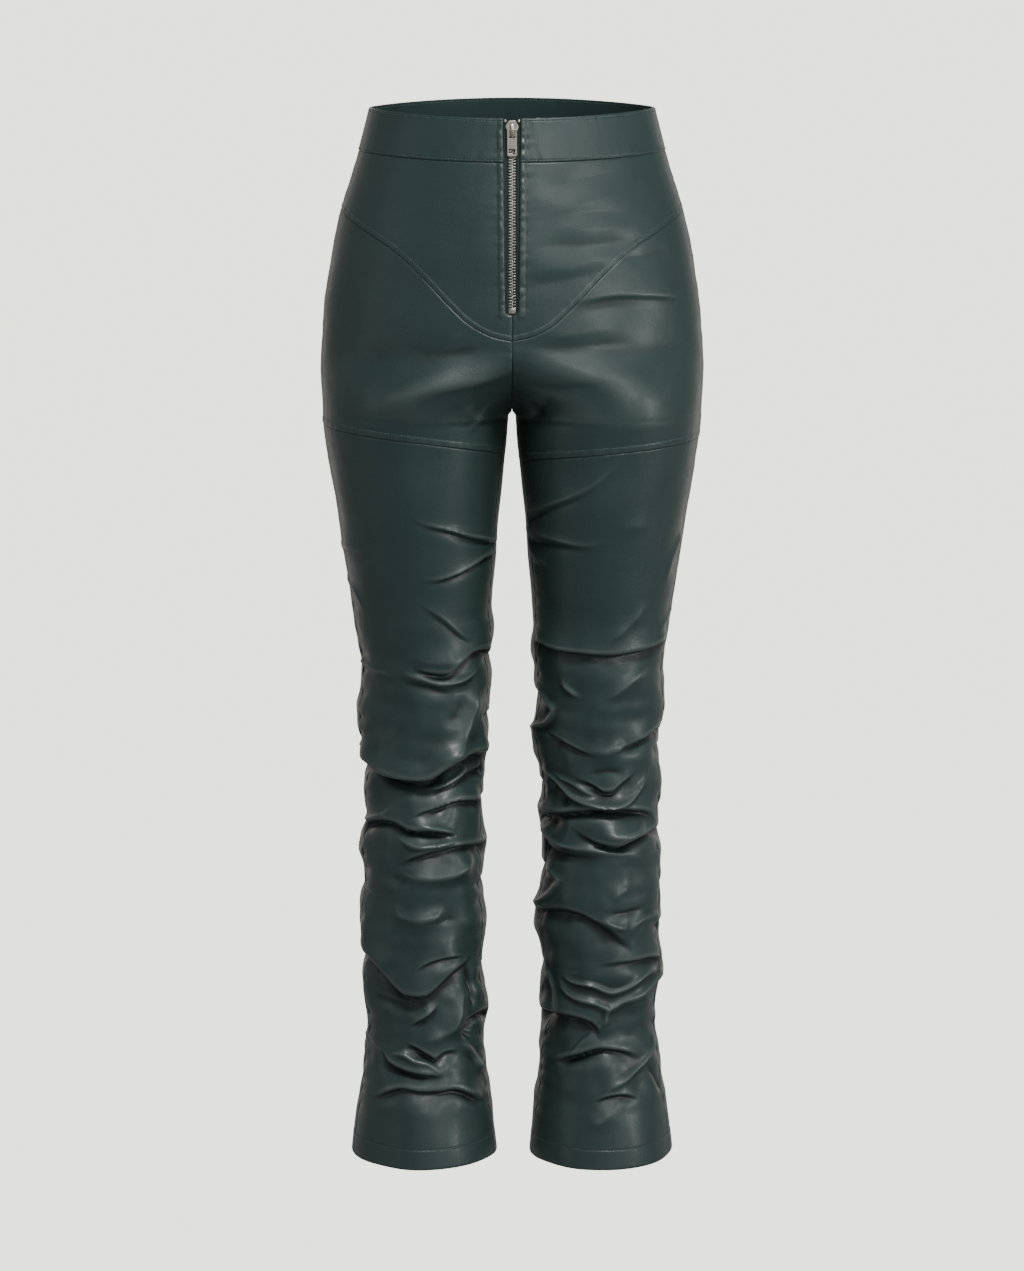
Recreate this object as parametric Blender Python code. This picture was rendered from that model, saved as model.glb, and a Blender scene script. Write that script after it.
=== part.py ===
"""High-waisted faux leather trousers with an exposed front zip and stacked lower legs.

The garment stands open and filled out, as worn. Metres, +Z up, the front faces -Y.
The origin is the centre of the waist opening. Heights are given as drops below it.
"""
import math
from collections import namedtuple

import bmesh
import bpy
import numpy as np

for old in list(bpy.data.objects):
    bpy.data.objects.remove(old, do_unlink=True)

MM = 0.001

# Driving sizes, in millimetres
WALL = 1.5              # leather and its backing
SEAM_HALF = 0.15        # half of the gap between two sewn pieces
BAND_HEIGHT = 38.5      # waistband
BAND_PROUD = 0.5        # the band is two layers, so it stands out from the panels
CROTCH_DROP = 270.0
FRONT_CURVE = 65.0      # height over which the front crotch curve turns under
BACK_CURVE = 100.0
HEM_DROP = 955.0
ARC_RADIUS = 62.0       # radius that turns degrees round a leg into millimetres of cloth
FRONT_COLUMNS = 11
BACK_COLUMNS = 12
YOKE_ROWS = 9

SIDES = (("right", -1), ("left", 1))    # wearer's right leg stands at -X

# One row a level: half width outside, gap to the middle inside, depth in front of and behind
# the leg's axis, and how far that axis lies behind the middle
Section = namedtuple("Section", "drop out inner front back axis_y")
SECTIONS = (
    Section(-10, 125.5, 0.0, 91, 93, 0), Section(0, 128.0, 0.0, 92, 95, 0),
    Section(45, 140.0, 0.0, 99, 106, 0), Section(90, 154.0, 0.0, 106, 118, 0),
    Section(150, 166.0, 0.0, 111, 128, 0), Section(200, 171.3, 0.0, 112, 131, 0),
    Section(240, 172.5, 0.0, 109, 129, 0), Section(270, 171.0, 0.4, 104, 124, 0),
    Section(273, 170.9, 2.6, 103.6, 123.3, 0), Section(280, 170.5, 3.4, 102.6, 121.6, 0),
    Section(300, 168.0, 5.0, 99, 118, 0),
    Section(350, 160.0, 10.5, 92, 106, 0), Section(400, 152.5, 14.5, 84, 93, 1),
    Section(450, 145.0, 18.3, 76, 83, 2), Section(500, 138.0, 20.5, 69, 76, 3),
    Section(560, 135.0, 22.5, 64, 70, 4), Section(620, 133.5, 26.5, 62, 67, 5),
    Section(700, 135.5, 27.0, 62, 66, 5), Section(780, 135.5, 27.5, 62, 66, 5),
    Section(840, 133.0, 27.0, 61, 66, 4), Section(880, 138.5, 23.5, 66, 69, 2),
    Section(920, 144.5, 17.5, 74, 76, 1), Section(955, 148.2, 14.5, 81, 81, 0),
)

# Seam lines on the front, as degrees round the leg (0 at its outer side, 90 in front) and drop
SeamPoint = namedtuple("SeamPoint", "deg drop")
YOKE_SEAM = (
    SeamPoint(3, 86), SeamPoint(20, 94), SeamPoint(35, 105), SeamPoint(50, 121),
    SeamPoint(63, 147), SeamPoint(71, 168), SeamPoint(78, 185), SeamPoint(84, 194),
    SeamPoint(90, 198),
)
ThighSeam = namedtuple("ThighSeam", "outer_drop inner_drop bend")
THIGH_SEAM = {-1: ThighSeam(280, 306, 1.7), 1: ThighSeam(292, 312, 1.7)}

# Rows down the lower leg: closest where the cloth is pushed up into folds
Stretch = namedtuple("Stretch", "start end rows")
ROW_SAG = 20.0          # the rows hang in swags between the seams, as the folds do
LEG_STRETCHES = (Stretch(0.0, 0.25, 8), Stretch(0.25, 0.92, 42), Stretch(0.92, 1.0, 4))

# Rows from the V seam to the thigh seam: drop where each meets the centre front or the inseam,
# drop where it meets the centre back or the inseam, and its share of the way down the side
Rise = namedtuple("Rise", "front_drop back_drop side")
RISE_ROWS = (
    Rise(198, 150, 0.0), Rise(212, 182, 0.12), Rise(226, 208, 0.25), Rise(240, 229, 0.38),
    Rise(251, 246, 0.50), Rise(260, 258, 0.61), Rise(266, 266, 0.71), Rise(270, 270, 0.80),
    Rise(275, 275, 0.85), Rise(284, 284, 0.90), Rise(295, 295, 0.95),
)
SEAT_DROPS = (30.5, 72, 112)     # rows of the centre back above those

# One row a fold: three points on its line, as degrees and drop, then the height of the roll
# above the line, the depth of the crease on it, and the reach of each
Fold = namedtuple("Fold", "start_deg start_drop mid_deg mid_drop end_deg end_drop lip dip up down")
FOLDS = {
    -1: (
        # front of the wearer's right leg, thigh to hem
        Fold(164, 389, 109, 371, 72, 355, 3.0, 2.5, 11, 12),
        Fold(164, 394, 125, 411, 90, 411, 3.0, 2.0, 13, 11),
        Fold(12, 392, 35, 393, 60, 393, 2.0, 2.5, 10, 12),
        Fold(166, 485, 125, 494, 98, 506, 5.0, 3.5, 15, 10),
        Fold(12, 497, 69, 508, 118, 520, 4.5, 3.5, 13, 12),
        Fold(152, 494, 108, 512, 70, 494, 3.5, 0.0, 7, 9),
        Fold(156, 507, 135, 548, 100, 582, 4.0, 0.0, 13, 13),
        Fold(6, 584, 80, 607, 158, 582, 9.0, 6.0, 17, 9),
        Fold(166, 596, 123, 608, 95, 616, 3.0, 3.0, 9, 9),
        Fold(155, 619, 113, 625, 78, 637, 5.0, 4.0, 12, 9),
        Fold(0, 645, 70, 653, 122, 650, 5.0, 3.5, 13, 9),
        Fold(178, 668, 112, 666, 64, 684, 5.0, 4.0, 11, 9),
        Fold(150, 679, 104, 692, 60, 684, 5.0, 0.0, 9, 13),
        Fold(36, 706, 85, 730, 124, 718, 4.0, 2.0, 14, 14),
        Fold(142, 763, 110, 765, 80, 774, 4.0, 3.5, 14, 9),
        Fold(8, 768, 84, 812, 148, 766, 8.0, 5.5, 18, 10),
        Fold(146, 776, 143, 800, 146, 826, 2.0, 5.0, 8, 7),
        Fold(108, 810, 90, 823, 74, 833, 2.0, 3.5, 10, 10),
        Fold(10, 840, 62, 861, 112, 879, 8.0, 6.0, 15, 10),
        Fold(96, 862, 122, 855, 150, 842, 3.5, 4.0, 12, 9),
        Fold(36, 902, 95, 886, 150, 902, 3.0, 3.5, 9, 12),
        # back of the same leg
        Fold(352, 480, 280, 502, 205, 488, 5.0, 4.0, 15, 10),
        Fold(345, 524, 270, 550, 215, 530, 6.0, 4.5, 15, 10),
        Fold(354, 584, 275, 606, 200, 584, 8.0, 5.5, 17, 10),
        Fold(338, 640, 285, 653, 210, 634, 5.0, 4.0, 14, 9),
        Fold(350, 692, 265, 716, 205, 690, 7.0, 5.0, 17, 10),
        Fold(348, 760, 275, 790, 205, 766, 8.0, 5.5, 18, 10),
        Fold(350, 843, 268, 870, 202, 845, 7.0, 5.5, 16, 10),
        Fold(325, 905, 270, 893, 222, 904, 3.0, 3.0, 10, 12),
    ),
    1: (
        # front of the wearer's left leg
        Fold(164, 364, 118, 334, 78, 303, 2.0, 2.0, 7, 8),
        Fold(166, 376, 115, 383, 74, 377, 2.0, 2.5, 12, 10),
        Fold(174, 476, 85, 484, 4, 477, 4.5, 4.5, 9, 8),
        Fold(128, 506, 114, 519, 102, 533, 3.0, 0.0, 9, 9),
        Fold(40, 495, 62, 511, 86, 530, 3.0, 0.0, 9, 9),
        Fold(152, 526, 136, 544, 180, 560, 2.0, 4.5, 9, 8),
        Fold(110, 562, 84, 572, 58, 561, 4.5, 0.0, 9, 9),
        Fold(22, 558, 82, 582, 138, 561, 4.0, 4.5, 13, 10),
        Fold(138, 597, 84, 617, 48, 599, 4.0, 3.5, 7, 7),
        Fold(162, 591, 84, 627, 36, 596, 6.5, 0.0, 9, 9),
        Fold(168, 634, 84, 631, 32, 637, 3.0, 5.0, 9, 9),
        Fold(168, 651, 86, 670, -4, 653, 8.0, 6.0, 17, 10),
        Fold(94, 722, 70, 723, 40, 719, 3.0, 2.5, 9, 9),
        Fold(66, 742, 48, 734, 22, 730, 2.0, 3.0, 9, 9),
        Fold(138, 720, 92, 737, 60, 763, 6.0, 5.5, 18, 13),
        Fold(94, 775, 58, 770, 16, 775, 4.0, 4.5, 12, 9),
        Fold(138, 776, 82, 808, 12, 778, 7.0, 0.0, 10, 11),
        Fold(164, 774, 132, 803, 138, 830, 2.0, 5.0, 9, 8),
        Fold(152, 826, 118, 833, 88, 841, 2.0, 7.0, 10, 12),
        Fold(128, 859, 84, 849, 48, 859, 3.0, 3.5, 9, 11),
        Fold(22, 840, 48, 868, 98, 889, 5.5, 2.0, 11, 12),
        Fold(44, 862, 24, 885, 28, 922, 0.0, 2.5, 8, 8),
        Fold(98, 896, 76, 890, 54, 898, 2.5, 3.0, 9, 11),
        # back of the same leg
        Fold(352, 476, 275, 499, 205, 477, 5.0, 4.0, 15, 10),
        Fold(342, 540, 262, 562, 208, 544, 6.0, 4.5, 15, 10),
        Fold(352, 593, 280, 620, 202, 597, 8.0, 5.5, 17, 10),
        Fold(348, 655, 270, 678, 198, 652, 7.0, 5.0, 16, 10),
        Fold(340, 718, 285, 738, 208, 722, 6.0, 4.5, 15, 10),
        Fold(352, 778, 270, 808, 200, 780, 8.0, 5.5, 18, 10),
        Fold(338, 838, 262, 862, 204, 838, 7.0, 5.0, 16, 10),
        Fold(318, 898, 275, 889, 232, 900, 3.0, 3.0, 10, 12),
    ),
}

# The cloth between two folds puffs out at the side and inner seams
Puff = namedtuple("Puff", "deg drop height reach")
PUFFS = {
    -1: (
        Puff(2, 547, 5.5, 24), Puff(0, 612, 2.5, 17), Puff(0, 668, 3.5, 17), Puff(0, 730, 4.0, 19),
        Puff(2, 798, 3.5, 26), Puff(180, 468, 2.5, 12), Puff(178, 516, 2.5, 15),
        Puff(180, 572, 2.5, 16), Puff(182, 668, 2.5, 16), Puff(180, 736, 3.0, 22),
        Puff(178, 815, 5.0, 20),
    ),
    1: (
        Puff(0, 533, 3.0, 20), Puff(0, 613, 3.0, 15), Puff(0, 692, 2.0, 24), Puff(0, 783, 3.0, 20),
        Puff(180, 487, 3.5, 13), Puff(178, 568, 4.5, 18), Puff(180, 641, 3.5, 14),
        Puff(180, 735, 6.5, 22), Puff(180, 808, 2.0, 20),
    ),
}
PUFF_DEGREES = 32.0

# Exposed zip, in millimetres
ZIP_TOP = 7.0
ZIP_END = 175.0         # closed end of the opening
OPENING_TOP = 7.4       # half width of the opening at the waist
OPENING_END = 5.6
CHAIN_HALF = 3.0
CHAIN_TOP = 11.5
CHAIN_END = 168.7
CHAIN_FACE = 1.1        # the teeth lie this deep behind the panels' faces
CHAIN_THICK = 2.4
TAPE_INNER = 3.4
TAPE_OUTER = 14.0
TAPE_FACE = WALL + 0.3
TAPE_THICK = 1.0
TAPE_END = 184.0


def smooth(value):
    """Ramp from 0 to 1 with flat ends."""
    value = np.clip(value, 0.0, 1.0)
    return value * value * (3.0 - 2.0 * value)


def curve_through(known, values, at):
    """Smooth curve through a short table."""
    known = np.asarray(known, float)
    values = np.asarray(values, float)
    slopes = np.gradient(values, known)
    at = np.clip(at, known[0], known[-1])
    low = np.clip(np.searchsorted(known, at) - 1, 0, len(known) - 2)
    span = known[low + 1] - known[low]
    part = (at - known[low]) / span
    rise = part * part * (3.0 - 2.0 * part)
    return (values[low] + rise * (values[low + 1] - values[low])
            + span * (part * (1.0 - part) ** 2 * slopes[low]
                      - part * part * (1.0 - part) * slopes[low + 1]))


def section(column, drop):
    """One size of the section at a drop."""
    return curve_through([row.drop for row in SECTIONS],
                         [getattr(row, column) for row in SECTIONS], drop)


def leg_centre(drop, is_front):
    """Centre and half width of the leg's ellipse, which reaches past the middle above the crotch."""
    out = section("out", drop)
    inner = section("inner", drop)
    curve = np.where(is_front, FRONT_CURVE, BACK_CURVE)
    rise = np.clip((CROTCH_DROP - drop) / curve, 0.0, 1.0)
    turn = (1.0 - rise ** 1.5) ** 1.4
    centre = np.where(drop < CROTCH_DROP, out * turn / (1.0 + turn), (out + inner) / 2.0)
    return centre, out - centre


def fold_height(side, deg, drop):
    """How far the folds lift the cloth off the plain form."""
    height = np.zeros(np.shape(deg))
    steps = np.linspace(0.0, 1.0, 25)
    for fold in FOLDS[side]:
        around = ((deg - fold.mid_deg + 180.0) % 360.0 - 180.0) * math.radians(ARC_RADIUS)
        first = (fold.start_deg - fold.mid_deg) * math.radians(ARC_RADIUS)
        last = (fold.end_deg - fold.mid_deg) * math.radians(ARC_RADIUS)
        line_x = first * (1 - steps) * (1 - 2 * steps) + last * steps * (2 * steps - 1)
        line_z = (fold.start_drop * (1 - steps) * (1 - 2 * steps)
                  + fold.mid_drop * 4 * steps * (1 - steps) + fold.end_drop * steps * (2 * steps - 1))
        nearest = np.full(np.shape(deg), 1e9)
        signed = np.zeros(np.shape(deg))
        along = np.zeros(np.shape(deg))
        for k in range(len(steps) - 1):
            run = np.array([line_x[k + 1] - line_x[k], line_z[k + 1] - line_z[k]])
            length = math.hypot(*run)
            part = ((around - line_x[k]) * run[0] + (drop - line_z[k]) * run[1]) / length ** 2
            part = np.clip(part, 0.0, 1.0)
            off_x = around - line_x[k] - part * run[0]
            off_z = drop - line_z[k] - part * run[1]
            distance = np.hypot(off_x, off_z)
            closer = distance < nearest
            nearest = np.where(closer, distance, nearest)
            above = np.where(abs(run[0]) > abs(run[1]), -off_z, off_x)
            signed = np.where(closer, np.where(above > 0, distance, -distance), signed)
            along = np.where(closer, (k + part) / (len(steps) - 1), along)
        fade = smooth(along / 0.22) * smooth((1.0 - along) / 0.22)
        reach = np.maximum(signed, 0.0) / fold.up
        roll = fold.lip * reach * np.exp((1.0 - reach ** 2) / 2.0)
        width = np.where(signed > 0, fold.up * 0.5, fold.down)
        crease = fold.dip * np.exp(-(signed / width) ** 2)
        if fold.dip == 0.0:
            width = np.where(signed > 0, fold.up, fold.down)
            roll = fold.lip * np.exp(-(signed / width) ** 2)
        height += fade * (roll - crease)
    for puff in PUFFS[side]:
        around = ((deg - puff.deg + 180.0) % 360.0 - 180.0) / PUFF_DEGREES
        height += puff.height * np.exp(-around ** 2 - ((drop - puff.drop) / puff.reach) ** 2)
    return height


def skin(side, deg, drop):
    """Point of the outer face in millimetres: deg runs from the outer side over the front."""
    deg, drop = np.broadcast_arrays(np.asarray(deg, float), np.asarray(drop, float))
    angle = np.radians(deg)
    is_front = np.sin(angle) >= 0.0
    centre, half = leg_centre(drop, is_front)
    depth = np.where(is_front, section("front", drop), section("back", drop))
    x = centre + half * np.cos(angle)
    y = section("axis_y", drop) - depth * np.sin(angle)
    lean = np.hypot(depth * np.cos(angle), half * np.sin(angle))
    height = fold_height(side, deg, drop)
    x = x + height * depth * np.cos(angle) / lean
    y = y - height * half * np.sin(angle) / lean
    z = -drop - 0.3 * np.maximum(height, 0.0)
    return np.stack([side * x, y, z], axis=-1)


def skin_normal(side, deg, drop):
    """Unit normal of the outer face, pointing out."""
    step_deg, step_drop = 0.5, 1.0
    round_leg = skin(side, deg + step_deg, drop) - skin(side, deg - step_deg, drop)
    down_leg = skin(side, deg, drop + step_drop) - skin(side, deg, drop - step_drop)
    normal = side * np.cross(down_leg, round_leg)
    return normal / np.linalg.norm(normal, axis=-1, keepdims=True)


def waist_edge(deg):
    """Drop of the waist's top edge: lower in front, higher behind."""
    swing = np.sin(np.radians(deg))
    return np.where(swing > 0, -2.6 + 6.6 * swing ** 2, -2.6 - 5.4 * swing ** 2)


def side_seam(drop):
    """Degrees of the side seam, which turns forward down the leg."""
    return 3.0 + 12.0 * smooth((drop - 300.0) / 150.0)


def middle_edge(drop, is_front, edge):
    """Degrees where a panel ends: at edge from the middle, or at the inseam below the crotch."""
    centre, half = leg_centre(drop, is_front)
    to_middle = np.degrees(np.arccos(np.clip((edge - centre) / half, -1.0, 1.0)))
    forward = 18.0 * smooth((drop - CROTCH_DROP) / 30.0)
    inseam_gap = np.degrees(SEAM_HALF / 60.0)
    if is_front:
        return np.where(drop < CROTCH_DROP, to_middle, 180.0 - forward - inseam_gap)
    return -np.where(drop < CROTCH_DROP, to_middle, 180.0 + forward - inseam_gap)


def opening_edge(drop):
    """Distance of the front pieces' inner edge from the middle, with the zip's round end."""
    half = OPENING_TOP + (OPENING_END - OPENING_TOP) * drop / ZIP_END
    to_end = np.clip((ZIP_END - drop) / OPENING_END, 0.0, 1.0)
    return SEAM_HALF + (half - SEAM_HALF) * np.sqrt(1.0 - (1.0 - to_end) ** 2)


def yoke_seam(deg):
    """Drop of the V seam."""
    return curve_through([p.deg for p in YOKE_SEAM], [p.drop for p in YOKE_SEAM], deg)


def thigh_seam(side, share):
    """Drop of the seam across the thigh, by share of the way from the side to the inseam."""
    row = THIGH_SEAM[side]
    return row.outer_drop + (row.inner_drop - row.outer_drop) * share ** row.bend


def leg_levels():
    """Shares of the way down the lower leg at which its rows lie."""
    levels = [np.linspace(part.start, part.end, part.rows + 1)[:-1] for part in LEG_STRETCHES]
    return np.append(np.concatenate(levels), 1.0)


def swag(drop, share):
    """Extra drop of a row between its two seams, none at the thigh seam and the hem."""
    pushed_up = smooth((drop - 330.0) / 130.0) * smooth((HEM_DROP - drop) / 60.0)
    return ROW_SAG * pushed_up * 4.0 * share * (1.0 - share)


def material(name, colour, roughness, metallic=0.0):
    """Plain finish of one sub-part."""
    made = bpy.data.materials.new(name)
    made.use_nodes = True
    shader = made.node_tree.nodes["Principled BSDF"]
    shader.inputs["Base Color"].default_value = (*colour, 1.0)
    shader.inputs["Roughness"].default_value = roughness
    shader.inputs["Metallic"].default_value = metallic
    return made


LEATHER = (0.022, 0.045, 0.042)
TAPE = (0.016, 0.028, 0.027)
METAL = (0.42, 0.40, 0.37)


def add_object(name, mesh_bm, finish):
    """Close a bmesh into one named object."""
    bmesh.ops.recalc_face_normals(mesh_bm, faces=mesh_bm.faces)
    mesh = bpy.data.meshes.new(name)
    mesh_bm.to_mesh(mesh)
    mesh_bm.free()
    mesh.materials.append(finish)
    made = bpy.data.objects.new(name, mesh)
    bpy.context.scene.collection.objects.link(made)
    return made


def wall(name, outer, inner, finish):
    """Closed wall between two grids of points in millimetres."""
    rows, columns = outer.shape[:2]
    mesh_bm = bmesh.new()
    grids = [[[mesh_bm.verts.new(grid[r, c] * MM) for c in range(columns)] for r in range(rows)]
             for grid in (outer, inner)]
    for grid in grids:
        for r in range(rows - 1):
            for c in range(columns - 1):
                mesh_bm.faces.new((grid[r][c], grid[r][c + 1], grid[r + 1][c + 1], grid[r + 1][c]))
    rim = ([(0, c) for c in range(columns)] + [(r, columns - 1) for r in range(1, rows)]
           + [(rows - 1, c) for c in range(columns - 2, -1, -1)] + [(r, 0) for r in range(rows - 2, 0, -1)])
    for (r, c), (next_r, next_c) in zip(rim, rim[1:] + rim[:1]):
        mesh_bm.faces.new((grids[0][r][c], grids[0][next_r][next_c],
                           grids[1][next_r][next_c], grids[1][r][c]))
    bmesh.ops.triangulate(mesh_bm, faces=mesh_bm.faces, quad_method="BEAUTY")
    made = add_object(name, mesh_bm, finish)
    made.data.shade_smooth()
    made.data.set_sharp_from_angle(angle=math.radians(50.0))
    return made


def panel_points(side, deg, drop, proud, thick):
    """Outer and inner points of a panel, kept on its own side of the middle."""
    outer = skin(side, deg, drop)
    normal = skin_normal(side, deg, drop)
    faces = [outer + normal * proud, outer + normal * (proud - thick)]
    for face in faces:
        face[..., 0] = side * np.maximum(side * face[..., 0], SEAM_HALF)
    return faces


def front_grid(drop, share, edge):
    """Degrees of a front panel's points from its side seam to its inner edge."""
    first = side_seam(drop) + np.degrees(SEAM_HALF / 90.0)
    last = middle_edge(drop, True, edge)
    return first + (last - first) * share


def back_grid(drop, share):
    """Degrees of a back panel's points from its side seam round the back."""
    first = side_seam(drop) - np.degrees(SEAM_HALF / 90.0)
    last = middle_edge(drop, False, SEAM_HALF)
    return first + (last - first) * share


def waistband_fronts():
    """Two front halves of the band, from the side seams to the zip's opening."""
    share = np.linspace(0.0, 1.0, FRONT_COLUMNS + 1)[None, :]
    for label, side in SIDES:
        level = np.linspace(0.0, 1.0, 4)[:, None]
        rough_deg = front_grid(np.full((1, 1), 20.0), share, opening_edge(20.0))
        drop = waist_edge(rough_deg) + level * (BAND_HEIGHT - SEAM_HALF)
        deg = front_grid(drop, share, opening_edge(drop[:, -1:]))
        outer, inner = panel_points(side, deg, drop, BAND_PROUD, WALL + BAND_PROUD)
        wall("waistband_front_" + label, outer, inner, material("band_" + label, LEATHER, 0.42))


def waistband_back():
    """Back half of the band, one piece between the two side seams."""
    share = np.linspace(0.0, 1.0, BACK_COLUMNS + 1)[None, :]
    level = np.linspace(0.0, 1.0, 4)[:, None]
    halves = []
    for label, side in SIDES:
        rough_deg = back_grid(np.full((1, 1), 20.0), share)
        drop = waist_edge(rough_deg) + level * (BAND_HEIGHT - SEAM_HALF)
        first = side_seam(drop) - np.degrees(SEAM_HALF / 90.0)
        deg = first + (-90.0 - first) * share
        outer = skin(side, deg, drop)
        normal = skin_normal(side, deg, drop)
        halves.append((outer + normal * BAND_PROUD, outer - normal * WALL))
    grids = [np.concatenate([halves[0][k], halves[1][k][:, -2::-1]], axis=1) for k in (0, 1)]
    wall("waistband_back", grids[0], grids[1], material("band_back", LEATHER, 0.42))


def yokes():
    """Hip yokes between the band, the zip and the V seam."""
    share = np.linspace(0.0, 1.0, FRONT_COLUMNS + 1)[None, :]
    seam_slack = SEAM_HALF * 1.5
    band_middle = BAND_HEIGHT + 4.0
    zip_rows = (ZIP_END - OPENING_END, ZIP_END - 2.0, ZIP_END + 0.3, YOKE_SEAM[-1].drop)
    middle_drops = np.append(np.linspace(band_middle, zip_rows[0], YOKE_ROWS - 2)[:-1], zip_rows)
    middle_rows = (middle_drops - band_middle) / (middle_drops[-1] - band_middle)
    side_rows = np.linspace(0.0, 1.0, len(middle_rows))
    for label, side in SIDES:
        rough_deg = front_grid(np.full((1, 1), 90.0), share, SEAM_HALF)
        top = waist_edge(rough_deg) + BAND_HEIGHT + SEAM_HALF
        bottom = yoke_seam(rough_deg) - seam_slack
        level = side_rows[:, None] + (middle_rows - side_rows)[:, None] * share
        drop = top + (bottom - top) * level
        deg = front_grid(drop, share, opening_edge(drop[:, -1:]))
        outer, inner = panel_points(side, deg, drop, 0.0, WALL)
        wall("yoke_" + label, outer, inner, material("yoke_" + label, LEATHER, 0.42))


def thighs():
    """Upper front legs, round the crotch curve, from the V seam to the thigh seam."""
    share = np.linspace(0.0, 1.0, FRONT_COLUMNS + 1)[None, :]
    seam_slack = SEAM_HALF * 1.5
    for label, side in SIDES:
        inner_end = THIGH_SEAM[side].inner_drop
        rise = np.array([row.front_drop for row in RISE_ROWS] + [inner_end])
        middle_rows = (rise - rise[0]) / (rise[-1] - rise[0])
        side_rows = np.array([row.side for row in RISE_ROWS] + [1.0])
        rough_deg = 3.0 + 87.0 * share
        top = yoke_seam(rough_deg) + seam_slack
        bottom = thigh_seam(side, share) - SEAM_HALF
        level = side_rows[:, None] + (middle_rows - side_rows)[:, None] * share
        drop = top + (bottom - top) * level
        deg = front_grid(drop, share, SEAM_HALF)
        outer, inner = panel_points(side, deg, drop, 0.0, WALL)
        wall("thigh_" + label, outer, inner, material("thigh_" + label, LEATHER, 0.42))


def front_legs():
    """Long lower fronts, cut longer than the leg and pushed up into folds."""
    share = np.linspace(0.0, 1.0, FRONT_COLUMNS + 1)[None, :]
    level = leg_levels()[:, None]
    for label, side in SIDES:
        top = thigh_seam(side, share) + SEAM_HALF
        drop = top + (HEM_DROP - top) * level
        drop = drop + swag(drop, share)
        deg = front_grid(drop, share, SEAM_HALF)
        outer, inner = panel_points(side, deg, drop, 0.0, WALL)
        wall("front_leg_" + label, outer, inner, material("leg_" + label, LEATHER, 0.42))


def backs():
    """Seat and back leg in one, with rows that meet those of the front at both seams."""
    share = np.linspace(0.0, 1.0, BACK_COLUMNS + 1)[None, :]
    for label, side in SIDES:
        seam = THIGH_SEAM[side]
        yoke_side = YOKE_SEAM[0].drop
        band_side = BAND_HEIGHT - 2.6
        outer_rows = np.concatenate([
            np.linspace(band_side, yoke_side, len(SEAT_DROPS) + 1)[:-1],
            yoke_side + (seam.outer_drop - yoke_side) * np.array([row.side for row in RISE_ROWS]),
            seam.outer_drop + (HEM_DROP - seam.outer_drop) * leg_levels()])[:, None]
        inner_rows = np.concatenate([
            SEAT_DROPS, [row.back_drop for row in RISE_ROWS],
            seam.inner_drop + (HEM_DROP - seam.inner_drop) * leg_levels()])[:, None]
        drop = outer_rows + (inner_rows - outer_rows) * share
        drop = drop + swag(drop, share)
        top_deg = side_seam(drop[:1]) + (-90.0 - side_seam(drop[:1])) * share
        drop[:1] = waist_edge(top_deg) + BAND_HEIGHT + SEAM_HALF
        deg = back_grid(drop, share)
        outer, inner = panel_points(side, deg, drop, 0.0, WALL)
        wall("back_" + label, outer, inner, material("back_" + label, LEATHER, 0.42))


def zip_frame(drop):
    """Point on the centre front and the directions down and out of it."""
    point = np.array([0.0, -float(section("front", drop)), -drop])
    ahead = np.array([0.0, -float(section("front", drop + 1.0)), -drop - 1.0])
    down = (ahead - point) / np.linalg.norm(ahead - point)
    return point, down, np.array([0.0, down[2], -down[1]])


def zip_strip(name, x_values, drops, face, thick, finish):
    """Band of cloth or metal that follows the centre front behind the panels' faces."""
    outer = np.zeros((len(drops), len(x_values), 3))
    inner = np.zeros_like(outer)
    for r, drop in enumerate(drops):
        point, down, out = zip_frame(drop)
        for c, x in enumerate(x_values):
            bow = np.array([0.0, (1.0 - math.sqrt(1.0 - (x / 140.0) ** 2)) * -point[1], 0.0])
            outer[r, c] = point + bow + np.array([x, 0.0, 0.0]) - out * face
            inner[r, c] = outer[r, c] - out * thick
    wall(name, outer, inner, finish)


def zip_runs():
    """Woven tapes behind the opening's edges and the closed chain between them."""
    cloth = material("zip_tape", TAPE, 0.8)
    metal = material("zip_teeth", METAL, 0.35, 1.0)
    drops = np.linspace(ZIP_TOP - 3.0, TAPE_END, 12)
    for label, side in SIDES:
        xs = side * np.array([TAPE_INNER, (TAPE_INNER + TAPE_OUTER) / 2.0, TAPE_OUTER])
        zip_strip("zip_tape_" + label, xs, drops, TAPE_FACE, TAPE_THICK, cloth)
    zip_strip("zip_chain", np.array([-CHAIN_HALF, CHAIN_HALF]),
              np.linspace(CHAIN_TOP, CHAIN_END, 11), CHAIN_FACE, CHAIN_THICK, metal)


def block(mesh_bm, frame, x_span, down_span, out_span):
    """Box in the zip's frame, in millimetres."""
    point, down, out = frame
    corners = []
    for x in x_span:
        for low in down_span:
            for high in out_span:
                place = point + np.array([x, 0, 0]) + down * low + out * high
                corners.append(mesh_bm.verts.new(place * MM))
    for quad in ((0, 1, 3, 2), (4, 6, 7, 5), (0, 4, 5, 1), (2, 3, 7, 6), (0, 2, 6, 4), (1, 5, 7, 3)):
        mesh_bm.faces.new([corners[k] for k in quad])


def extruded(mesh_bm, frame, profile, plane, low, high):
    """Closed prism: profile points lie across (plane 'face') or along ('side') the zip."""
    point, down, out = frame
    ends = []
    for level in (low, high):
        ring = []
        for a, b in profile:
            if plane == "face":
                place = np.array([a, 0, 0]) + down * b + out * level
            else:
                place = np.array([level, 0, 0]) + down * a + out * b
            ring.append(mesh_bm.verts.new((point + place) * MM))
        ends.append(ring)
    mesh_bm.faces.new(ends[0])
    mesh_bm.faces.new(ends[1][::-1])
    for k in range(len(profile)):
        after = (k + 1) % len(profile)
        mesh_bm.faces.new((ends[0][k], ends[0][after], ends[1][after], ends[1][k]))


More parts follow.
